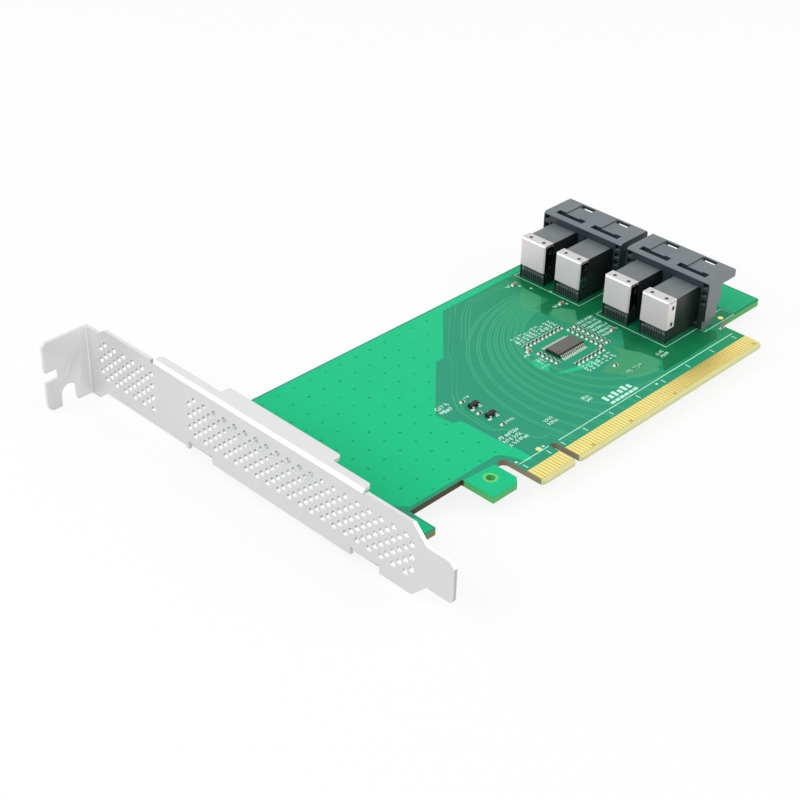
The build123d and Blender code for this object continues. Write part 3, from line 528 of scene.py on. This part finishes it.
chance = vias.node("FunctionNodeRandomValue", {"data_type": "FLOAT"}, {
    "Min": given["Least Scale"], "Max": given["Most Scale"], "Seed": given["Seed"]}, "Value")
placed = vias.node("GeometryNodeInstanceOnPoints", values={
    "Points": moved, "Selection": kept, "Instance": disc, "Scale": chance})
solid = vias.node("GeometryNodeRealizeInstances", values={0: placed})
painted = vias.node("GeometryNodeSetMaterial", values={"Geometry": solid, "Material": given["Finish"]})
vias.fill(vias.tree.nodes.new("NodeGroupOutput").inputs[0], painted)

tented = Finish("tented_via", Roughness=0.4, Specular_IOR_Level=0.16, Specular_Tint=(0.4, 1.0, 0.7, 1))
tented.mottle(2.5, srgb(8, 126, 80), srgb(24, 158, 104), detail=2.0)
maker = bpy.data.objects.new("via_maker", bpy.data.meshes.new("via_maker"))
bpy.context.scene.collection.objects.link(maker)
modifier = maker.modifiers.new("lattice", "NODES")
modifier.node_group = vias.tree
for label, (identifier, value) in named.items():
    modifier[identifier] = tented.material if label == "Finish" else value
made = maker.evaluated_get(bpy.context.evaluated_depsgraph_get())
via_mesh = bpy.data.meshes.new_from_object(made)
maker.modifiers.remove(modifier)
bpy.data.objects.remove(maker)
VIA_LIFT = 0.0105  # half a disc's height, less a hair
via_form = bmesh.new()
via_form.from_mesh(via_mesh)
bmesh.ops.translate(via_form, verts=via_form.verts, vec=(0, 0, VIA_LIFT * MM))
piece("solder_side_vias", turned_over(via_form), tented, "circuit_board")
piece("stitching_vias", via_form, tented, "circuit_board")


# White legend ink: the ports' outlines, the line and tick marks along the fingers, and small plain strokes
# beside the parts. It is printed, a few hundredths thick.
INK, LINE = 0.03, 0.22  # the ink's thickness and the lines' width
TICK_HALF, SPOT_HALF = 0.12, 0.3
ink_form = bmesh.new()
for path in (((78.6, 66.0), (53.0, 66.0), (53.0, 43.6), (66.2, 43.6)),
             ((66.1, 38.0), (53.0, 38.0), (53.0, 15.6), (66.1, 15.6), (66.1, 13.3), (78.9, 13.3),
              (78.9, 17.2), (74.6, 17.2)),
             ((-11.5, 8.05), (-1.3, 8.05)), ((2.1, 8.0), (70.6, 8.0))):
    add_ribbon(ink_form, path, LINE, INK)
for tick in (-11.0, -3.0, 2.0, 10.1, 19.7, 29.9, 39.8, 49.8, 59.9, 69.4):
    add_bar(ink_form, tick - TICK_HALF, 5.8, tick + TICK_HALF, 7.3, INK)
for px, py in ((50.9, 58.3), (53.3, 53.6), (37.6, 6.9), (-2.2, 8.9), (-11.4, 9.0), (62.1, 25.2),
               (49.6, 61.2), (51.5, 46.6)):
    add_bar(ink_form, px - SPOT_HALF, py - SPOT_HALF, px + SPOT_HALF, py + SPOT_HALF, INK)
dice = Random(11)  # which strokes come in which place
STROKES = ((0, 0, 0.24, 1), (0.43, 0, 0.67, 1), (0, 0.38, 0.67, 0.62), (0, 0.76, 0.67, 1), (0, 0, 0.67, 0.24))
STROKE_PITCH, STROKE_WIDTH, ROW_PITCH = 0.82, 0.6, 1.5  # as parts of a stroke's height


def add_marks(form, left, low, right, high, size, upright=False):
    """Rows of short plain strokes that fill a field."""
    step = size * STROKE_PITCH
    across, reach = (right - left, high - low) if upright else (high - low, right - left)
    for row in range(max(1, int(across / (size * ROW_PITCH) + 0.5))):
        base = (left if upright else low) + row * size * ROW_PITCH
        along = 0.0
        while along + size * STROKE_WIDTH <= reach:
            kind = dice.randrange(5)
            for bar in dice.sample(STROKES, 3 if kind < 3 else 4):
                u0, v0, u1, v1 = [value * size for value in bar]
                if upright:
                    add_bar(form, base + v0, low + along + u0, base + v1, low + along + u1, INK)
                else:
                    add_bar(form, left + along + u0, base + v0, left + along + u1, base + v1, INK)
            along += step
            if kind == 4:
                along += step * 0.5


for column in range(10):
    add_marks(ink_form, 27.0 + 1.5 * column, 41.4, 27.9 + 1.5 * column, 44.8, 0.95, upright=True)
for row in range(6):
    add_marks(ink_form, 45.8, 29.6 + 1.62 * row, 51.8, 30.3 + 1.62 * row, 0.95)
for column in range(7):
    add_marks(ink_form, 30.2 + 1.6 * column, 21.6, 31.1 + 1.6 * column, 24.8, 0.95, upright=True)
for field in ((-9.6, 33.4, -5.2, 37.0, 1.2), (-0.9, 34.2, 1.0, 35.0, 0.8), (-1.0, 20.8, 1.6, 21.6, 0.8),
              (-7.6, 13.8, -1.0, 18.0, 1.1), (23.6, 36.6, 25.4, 37.4, 0.8)):
    add_marks(ink_form, *field)
for field in ((22.8, 30.4, 26.2, 31.2, 0.7), (24.4, 31.8, 26.0, 34.6, 0.7)):
    add_marks(ink_form, *field, upright=True)
for left in (5.4, 19.4, 48.4):
    add_marks(ink_form, left, 13.3, left + 3.2, 15.7, 0.95)
for left, low in ((46.2, 62.6), (47.5, 47.3)):
    add_marks(ink_form, left, low, left + 1.6, low + 1.4, 0.95)
for k in range(6):
    left = 23.0 + 1.7 * k
    add_bar(ink_form, left, 10.3, 24.0 + 1.7 * k, 12.3 - 0.5 * (k % 2), INK)
    add_bar(ink_form, left, 8.75, 24.4 + 1.7 * k, 9.6, INK)
ink = Finish("legend_ink", Roughness=0.6, Specular_IOR_Level=0.2)
ink.set("Base Color", ink.blend(ink.noise(0.25) * 0.6, srgb(218, 252, 241), srgb(150, 236, 208)))
piece("legend", ink_form, ink, "circuit_board")

faint_form = bmesh.new()
add_marks(faint_form, 36.6, 14.4, 42.2, 16.0, 1.3)
faint_ink = Finish("faint_ink", Roughness=0.6, Specular_IOR_Level=0.2)
faint_ink.mottle(0.3, srgb(160, 214, 180), srgb(110, 190, 140))
piece("faint_legend", faint_form, faint_ink, "circuit_board")


# The edge fingers and other bare gold: hard gold plate over copper, worn to fine scratches where the
# slot's springs wipe the fingers. The hook's hole has a plated ring and the board two small gold spots.
gold = Finish("gold_plate", Metallic=1.0, Roughness=0.3)
x = gold.parts(gold.point)[0]
bright = gold.blend(gold.noise(5.0), srgb(252, 244, 164), srgb(242, 228, 140))
amber = gold.ramp(abs(x - 56), 22, 4) * 0.4
gold.set("Base Color", gold.blend(amber, bright, srgb(228, 196, 104)))
wiped = gold.stretched(9.0, 0.6, 1.0)
gold.set("Roughness", gold.ramp(gold.noise(1.4, 2.0, wiped), 0, 1, 0.24, 0.42))
gold.bump(gold.noise(1.0, where=wiped), 0.006)
for node in ("edge_contacts_component_side", "edge_contacts_solder_side"):
    clad(node, gold)
for number in range(1, 5):
    clad(f"port_{number}_contacts", gold)
spot_form = bmesh.new()
for px, py in ((-3.8, 8.9), (74.9, 14.6)):
    add_plate(spot_form, circle(px, py, 0.75, 20), 0.03)
piece("gold_spots", spot_form, gold, "gold")
ring_form = bmesh.new()
add_ring(ring_form, -19.9, 9.1, 1.75, 1.12, POUR_TOP, 0.035)
ring = Finish("masked_ring", Roughness=0.4, Specular_IOR_Level=0.3)
ring.mottle(0.8, srgb(116, 214, 108), srgb(86, 200, 104))
piece("hook_ring", ring_form, ring, "circuit_board")
washer_form = bmesh.new()
for px, py in ((-46.2, 14.0), (-46.2, 63.1)):
    add_ring(washer_form, px, py, 3.1, 1.62, POUR_TOP, 0.04)
copper = Finish("bare_copper", Metallic=0.8, Roughness=0.45)
copper.mottle(0.8, srgb(196, 170, 140), srgb(150, 132, 108))
piece("screw_lands", washer_form, copper, "circuit_board")


# Solder: pale lands under every small part and lead, with a low swelling at the outer end of each. It is
# reflowed tin with a dull grain, and plates the parts' own ends and leads.
tin = Finish("reflowed_tin", Metallic=0.5, Roughness=0.45)
grain = tin.noise(0.3)
tin.set("Base Color", tin.blend(grain, srgb(240, 244, 234), srgb(190, 204, 190)))
tin.set("Roughness", tin.ramp(grain, 0, 1, 0.35, 0.6))
tin.bump(tin.noise(0.15), 0.01)


def add_fillet(form, px, py, turn, length, width, height):
    """A small wedge of solder that climbs from its outer edge to the part's end."""
    c, s = cos(turn), sin(turn)
    corners = []
    for u, v, w in ((0, -width / 2, 0), (0, width / 2, 0), (length, width / 2, 0), (length, -width / 2, 0),
                    (length, -width / 2, height), (length, width / 2, height)):
        corners.append(form.verts.new(((px + c * u - s * v) * MM, (py + s * u + c * v) * MM, w * MM)))
    for loop in ((0, 1, 2, 3), (0, 3, 4), (1, 5, 2), (0, 4, 5, 1), (3, 2, 5, 4)):
        form.faces.new([corners[i] for i in loop])


WELD = 0.0005  # corners of a node's mesh this close are one


def loose_parts(node):
    """The boxes of the separate solids of a node, in millimetres: their low and high corners, in order."""
    form = bmesh.new()
    form.from_mesh(nodes[node].data)
    bmesh.ops.remove_doubles(form, verts=form.verts, dist=WELD * MM)
    found, left = [], set(form.verts)
    while left:
        group, edge = set(), [left.pop()]
        while edge:
            vert = edge.pop()
            group.add(vert)
            for link in vert.link_edges:
                other = link.other_vert(vert)
                if other in left:
                    left.remove(other)
                    edge.append(other)
        spots = [vert.co / MM for vert in group]
        found.append([[pick(spot[i] for spot in spots) for i in range(3)] for pick in (min, max)])
    form.free()
    return sorted(found)


def middle_of(low, high):
    return (low[0] + high[0]) / 2, (low[1] + high[1]) / 2


LAND_TOP, LAND_REACH, LAND_MARGIN = 0.03, 0.34, 0.12
CHIP_TOE, TRANSISTOR_MIDDLE, TRANSISTOR_TOE = 3.2, -1.7, 1.25  # the toes' distance from the middle line
land_form = bmesh.new()
for kind in ("resistor", "capacitor"):
    bodies = [middle_of(low, high) for low, high in loose_parts(f"{kind}_bodies")]
    for low, high in loose_parts(f"{kind}_ends"):
        px, py = middle_of(low, high)
        bx, by = min(bodies, key=lambda spot: hypot(spot[0] - px, spot[1] - py))
        out = atan2(py - by, px - bx)
        half = max(high[0] - low[0], high[1] - low[1]) / 2
        tx, ty = px + cos(out) * LAND_REACH, py + sin(out) * LAND_REACH
        add_fillet(land_form, tx, ty, out + pi, 0.24, half * 1.8, 0.2)
        wide = half + LAND_MARGIN
        ex, ey = (LAND_REACH, wide) if abs(cos(out)) > 0.5 else (wide, LAND_REACH)
        cx, cy = px + cos(out) * LAND_MARGIN, py + sin(out) * LAND_MARGIN
        add_bar(land_form, cx - ex, cy - ey, cx + ex, cy + ey, LAND_TOP)
for low, high in loose_parts("clock_chip_leads"):
    px, py = middle_of(low, high)
    side = 1 if py > CHIP_MIDDLE else -1
    toe = CHIP_MIDDLE + side * CHIP_TOE
    near, far = sorted((toe - 0.3 * side, toe + 0.6 * side))
    add_bar(land_form, px - 0.2, near, px + 0.2, far, LAND_TOP)
    add_fillet(land_form, px, toe + 0.4 * side, -side * pi / 2, 0.4, 0.26, 0.12)
for low, high in loose_parts("transistor_leads"):
    px, py = middle_of(low, high)
    side = 1 if px > TRANSISTOR_MIDDLE else -1
    toe = TRANSISTOR_MIDDLE + side * TRANSISTOR_TOE
    near, far = sorted((toe - 0.4 * side, toe + 0.55 * side))
    add_bar(land_form, near, py - 0.4, far, py + 0.4, LAND_TOP)
    add_fillet(land_form, toe + 0.5 * side, py, 0 if side < 0 else pi, 0.5, 0.6, 0.2)
piece("solder_lands", land_form, tin, "tin")
for node in ("resistor_ends", "capacitor_ends", "clock_chip_leads", "transistor_leads"):
    clad(node, tin)


# The slot bracket: zinc-plated steel, blanked, pierced with round vents and folded. A copy of the sheet
# gets round vents and softly broken edges, and the plate a faint cloudy spangle. Light and shade are painted
# into its colour: the folds painted white as highlights, upward faces and the tab lighter, downward faces and
# the vents' upper walls darker.
SEAM, FLAT = 0.002, 1.0  # corners this close are one, and faces within this many degrees


def merged(node):
    """A working copy of a node's mesh with shared corners and its flat faces made whole."""
    form = bmesh.new()
    form.from_mesh(nodes[node].data)
    bmesh.ops.remove_doubles(form, verts=form.verts, dist=SEAM * MM)
    bmesh.ops.dissolve_limit(form, angle_limit=radians(FLAT), verts=form.verts, edges=form.edges)
    return form


def break_edges(form, width, steps, spare=(), least=30):
    """Rounds the edges of a form that are sharper than least degrees, except those between spared corners."""
    spare = set(spare)
    sharp = [edge for edge in form.edges
             if len(edge.link_faces) == 2 and edge.calc_face_angle(0) > radians(least)
             and not (edge.verts[0] in spare and edge.verts[1] in spare)]
    bmesh.ops.bevel(form, geom=sharp, offset=width * MM, offset_type="OFFSET", segments=steps, profile=0.5,
                    affect="EDGES", clamp_overlap=True)


def grey(level):
    return srgb(level, level, level)


VENT_RADIUS = 0.74
VENT_INSIDE, VENT_OUTSIDE = 0.55, 0.78  # how near a vent's middle its six-sided rim comes, and how far
VENT_WALL_LEAST, VENT_WALL_MOST = 0.5, 0.75  # the area of one of its six walls, in square millimetres
sheet_form = merged("mounting_bracket")
walls = {face for face in sheet_form.faces if abs(face.normal.x) < 0.05 and len(face.verts) == 4
         and VENT_WALL_LEAST < face.calc_area() / MM ** 2 < VENT_WALL_MOST}
vents, rims = [], set()
while walls:
    group, queue = [], [walls.pop()]
    while queue:
        face = queue.pop()
        group.append(face)
        for other in {other for link in face.edges for other in link.link_faces} & walls:
            walls.remove(other)
            queue.append(other)
    if len(group) == 6:
        spots = sorted(tuple(vert.co) for face in group for vert in face.verts)
        vents.append([sum(spot[axis] for spot in spots) / len(spots) for axis in (1, 2)])
        rims |= {link for face in group for link in face.edges
                 if abs(link.verts[0].co.x - link.verts[1].co.x) < 0.01 * MM}
bmesh.ops.subdivide_edges(sheet_form, edges=list(rims), cuts=2)
vent_corners = set()
for vert in sheet_form.verts:
    for middle_y, middle_z in vents:
        dy, dz = vert.co.y - middle_y, vert.co.z - middle_z
        reach = hypot(dy, dz)
        if VENT_INSIDE * MM < reach < VENT_OUTSIDE * MM:
            vert.co.y = middle_y + dy / reach * VENT_RADIUS * MM
            vert.co.z = middle_z + dz / reach * VENT_RADIUS * MM
            vent_corners.add(vert)
            break
break_edges(sheet_form, 0.1, 2, vent_corners)
FACE_FRONT, FACE_BACK = -58.05, -57.1
VENTS_LOW, VENTS_HIGH, VENTS_MIDDLE, VENTS_REACH = 0.6, 12.0, 40, 62
TAB_END, TAB_FOLD, FACE_END = -69, -59, 102
zinc = Finish("zinc_plate", Metallic=0.4, Roughness=0.34)
x, y, z = zinc.parts(zinc.point)
nx, ny, nz = zinc.facing()
cloudy = zinc.noise(3.0, 4.0)
face_tone = zinc.blend(zinc.ramp(y, 60, 104), grey(213), grey(204))
face_tone = zinc.blend(cloudy * 0.5, face_tone, grey(204))
# Upward faces are painted a little lighter: painted light.
painted_light_up_tone = zinc.blend(cloudy, srgb(225, 225, 226), srgb(220, 220, 221))
# The tab is painted lighter towards its fold: painted light against the shade there.
tab_painted_light = zinc.blend(zinc.ramp(x, TAB_END, TAB_FOLD), grey(217), grey(238))
# The vents' walls are painted white where they face up and grey where they face down: painted light and
# shade.
vent_painted_light_and_shade = zinc.blend(zinc.ramp(nz, -0.05, 0.4), grey(178), grey(250))
in_vents = ((abs(nx) < 0.5) & (z > VENTS_LOW) & (z < VENTS_HIGH) & (x > FACE_FRONT) & (x < FACE_BACK)
            & (abs(y - VENTS_MIDDLE) < VENTS_REACH))
tone = zinc.blend(nz > 0.9, face_tone, painted_light_up_tone)
# The folds are painted white as a painted highlight, downward faces painted darker as painted shade, and the
# face by the tab's fold painted lighter against the shade there.
tone = zinc.blend((nz > 0.25) & (nz < 0.9), tone, grey(255))
tone = zinc.blend(nz < -0.3, tone, grey(176))
tone = zinc.blend(zinc.ramp(y, FACE_END - 10, FACE_END) & (nx < -0.5), tone, grey(220))
tone = zinc.blend((abs(ny) > 0.6) & (y > FACE_END - 2), tone, tab_painted_light)
zinc.set("Base Color", zinc.blend(in_vents, tone, vent_painted_light_and_shade))
zinc.set("Roughness", zinc.ramp(zinc.noise(1.2), 0, 1, 0.28, 0.42))
zinc.bump(zinc.noise(2.2), 0.012)
piece("bracket", sheet_form, zinc, "bracket_steel", "mounting_bracket")


# The two pan head screws that hold the bracket's ears from the solder side: plated steel, a little
# uneven in tone, with rounded edges.
def soften(node, name, finish, slot, width, steps, least=30):
    """Dresses a node in a copy of itself with rounded edges."""
    form = merged(node)
    break_edges(form, width, steps, least=least)
    piece(name, form, finish, slot, node)


screw = Finish("screw_plate", Metallic=1.0, Roughness=0.3)
screw.mottle(0.6, srgb(206, 206, 202), srgb(172, 172, 168))
screw.bump(screw.noise(0.3), 0.01)
for name in ("upper", "lower"):
    soften(f"bracket_screw_{name}", f"screw_{name}", screw, "screw_steel", 0.25, 3)


# The twin port shells: glass-filled black nylon from a fine-grained mould. Their tops and low ledges are
# painted grey and the end wall facing the fingers lighter, as painted light of the tent, while their other
# walls stay dark.
CANOPY_STEP, LOW_END_WALL = 13.3, 15.0
nylon = Finish("shell_nylon", Roughness=0.5, Specular_IOR_Level=0.5)
y, z = nylon.parts(nylon.point)[1:]
ny, nz = nylon.facing()[1:]
grain = nylon.noise(0.25, 4.0)
# The tops are painted grey: painted light of the tent on the black nylon; the walls keep its dark.
painted_light_top = nylon.blend(nylon.noise(7.0, 2.0), srgb(96, 105, 109), srgb(116, 123, 126))
dark = nylon.blend(grain, srgb(36, 43, 50), srgb(48, 56, 64))
# The end wall facing the fingers is painted lighter: painted light.
painted_light_end_wall = nylon.blend(grain, srgb(112, 118, 121), srgb(124, 129, 131))
tone = nylon.blend(nz > 0.3, dark, painted_light_top)
tone = nylon.blend((ny < -0.6) & (y < LOW_END_WALL), tone, painted_light_end_wall)
# Upward faces below the canopy step are painted grey too: painted light.
tone = nylon.blend((z < CANOPY_STEP) & (nz > 0.3), tone, srgb(104, 112, 117))
nylon.set("Base Color", tone)
nylon.bump(grain, 0.012)
for number in (1, 2):
    soften(f"port_shell_{number}", f"shell_{number}", nylon, "shell_plastic", 0.12, 2)


# The ports' contact blocks: satin black moulding, painted grey on top as painted light of the tent, with
# the stack of contact wafers showing as ribs at the foot, their grooves painted lighter against their shade.
# A small cheek on each side of the foot closes it against the cap's legs.
FOOT_FRONT, FOOT_TOP, FOOT_HALF, BLOCK_HALF = 54.2, 2.5, 3.370, 3.820
CHEEK_LENGTH = 2.6
PORT_MIDDLES = (60.84, 48.96, 32.79, 20.91)
satin = Finish("block_moulding", Roughness=0.36, Specular_IOR_Level=0.5)
x, z = satin.parts(satin.point)[::2]
nx, nz = satin.facing()[::2]
streak = satin.noise(1.6, where=satin.stretched(0.25, 1.0, 1.0))
# The roof is painted grey: painted light of the tent on the black moulding.
painted_light_roof = satin.blend(streak, srgb(92, 100, 103), srgb(116, 122, 124))
wall = satin.blend(streak, srgb(25, 28, 30), srgb(42, 46, 48))
foot = satin.blend(streak, srgb(44, 57, 57), srgb(54, 68, 68))
# The grooves between the wafer ribs are painted lighter than the ribs: painted light against their shade.
groove_painted_light = satin.blend(streak, srgb(84, 104, 104), srgb(100, 120, 118))
in_groove = (z < FOOT_TOP + 0.02) & (x > FOOT_FRONT + 0.12) & (x < FOOT_FRONT + 0.55)
at_ledge = (z > FOOT_TOP - 0.26) & (z < FOOT_TOP + 0.06) & (nx < -0.3)
tone = satin.blend(nz > 0.3, wall, painted_light_roof)
tone = satin.blend((z < 4.0) & (nx < -0.3), tone, foot)
tone = satin.blend(in_groove, tone, groove_painted_light)
satin.set("Base Color", satin.blend(at_ledge, tone, srgb(120, 134, 134)))
satin.bump(satin.noise(0.3), 0.008)
for number in range(1, 5):
    soften(f"port_{number}_contact_block", f"contact_block_{number}", satin, "block_plastic", 0.05, 1)
cheek_form = bmesh.new()
for middle in PORT_MIDDLES:
    for side in (-1, 1):
        near, far = sorted((middle + side * FOOT_HALF, middle + side * BLOCK_HALF))
        add_bar(cheek_form, FOOT_FRONT, near, FOOT_FRONT + CHEEK_LENGTH, far, FOOT_TOP)
piece("foot_cheeks", cheek_form, satin, "block_plastic")


# The folded caps over the ports' backs: tin-plated strip with soft bends, two dimples on top, windows in
# the sides and a fine score along each front edge.
CAP_LOW, CAP_HIGH, CAP_INSIDE = 3.85, 11.9, 11.2
LOWEST_CAP = 18  # the near side of the cap by the fingers lies below this
strip = Finish("cap_plate", Metallic=0.25, Roughness=0.42, Specular_IOR_Level=0.3)
x, y, z = strip.parts(strip.point)
nx, ny, nz = strip.facing()
# The front is painted darker towards the bottom: painted shade near the board.
front = strip.blend(strip.ramp(z, CAP_LOW + 0.05, CAP_HIGH), srgb(230, 212, 222), srgb(237, 222, 232))
front = strip.blend(strip.noise(1.5) * 0.35, front, srgb(226, 210, 219))
# Faces inside and under the cap are painted dark grey: painted shade.
painted_shade_inside = (nx > 0.5) | (nz < -0.5) | ((nz > 0.2) & (z < CAP_INSIDE)) | ((x > FOOT_FRONT) & (nx < -0.5))
# The cap's side towards the fingers is painted near white, a painted reflection of the bright surroundings;
# the sides between the ports are painted darker, painted shade, and made mirror-like.
painted_light_side = (ny < -0.9) & (y < LOWEST_CAP)
shaded_side = (ny < -0.9) & (y > LOWEST_CAP)
# The rounded lips between front and top are painted near white, a painted highlight; the flat top is a plain
# grey.
tone = strip.blend(nz > 0.2, front, srgb(240, 239, 238))
tone = strip.blend(nz > 0.95, tone, srgb(206, 205, 204))
tone = strip.blend(painted_light_side, tone, srgb(254, 244, 250))
tone = strip.blend(shaded_side, tone, srgb(168, 146, 156))
tone = strip.blend(painted_shade_inside, tone, srgb(96, 97, 98))
# Below the cap's lowest edge its legs are painted near black: painted shade of the block beside them.
strip.set("Base Color", strip.blend(z < CAP_LOW, tone, srgb(40, 46, 48)))
strip.set("Metallic", 0.25 + 0.75 * shaded_side)
strip.set("Roughness", 0.42 - 0.26 * shaded_side)
strip.bump(strip.noise(0.6), 0.006)
for number in range(1, 5):
    soften(f"port_{number}_cap", f"cap_{number}", strip, "cap_steel", 0.14, 2, least=20)


# The clock buffer, the transistors and the chip resistors: moulded epoxy and fired ceramic. Epoxy is a
# dark warm grey with a fine speckle, the capacitors are tan.
epoxy = Finish("mould_compound", Roughness=0.5, Specular_IOR_Level=0.4)
x, z = epoxy.parts(epoxy.point)[::2]
grain = epoxy.noise(0.12, 4.0)
# The clock buffer's top is painted grey, painted light of the tent; its sides and the other bodies keep the
# epoxy's near black.
chip_top = (epoxy.facing()[2] > 0.8) & (x > 20) & (z > 0.8)
painted_light_top_grey = epoxy.blend(grain, srgb(84, 84, 80), srgb(108, 107, 101))
side_black = epoxy.blend(grain, srgb(20, 18, 18), srgb(34, 30, 30))
epoxy.set("Base Color", epoxy.blend(chip_top, side_black, painted_light_top_grey))
epoxy.bump(grain, 0.006)
for node in ("clock_chip_body", "transistor_bodies", "resistor_bodies"):
    clad(node, epoxy)
ceramic = Finish("fired_ceramic", Roughness=0.45, Specular_IOR_Level=0.4)
ceramic.mottle(0.3, srgb(150, 110, 78), srgb(186, 148, 108))
ceramic.bump(ceramic.noise(0.2), 0.006)
clad("capacitor_bodies", ceramic)
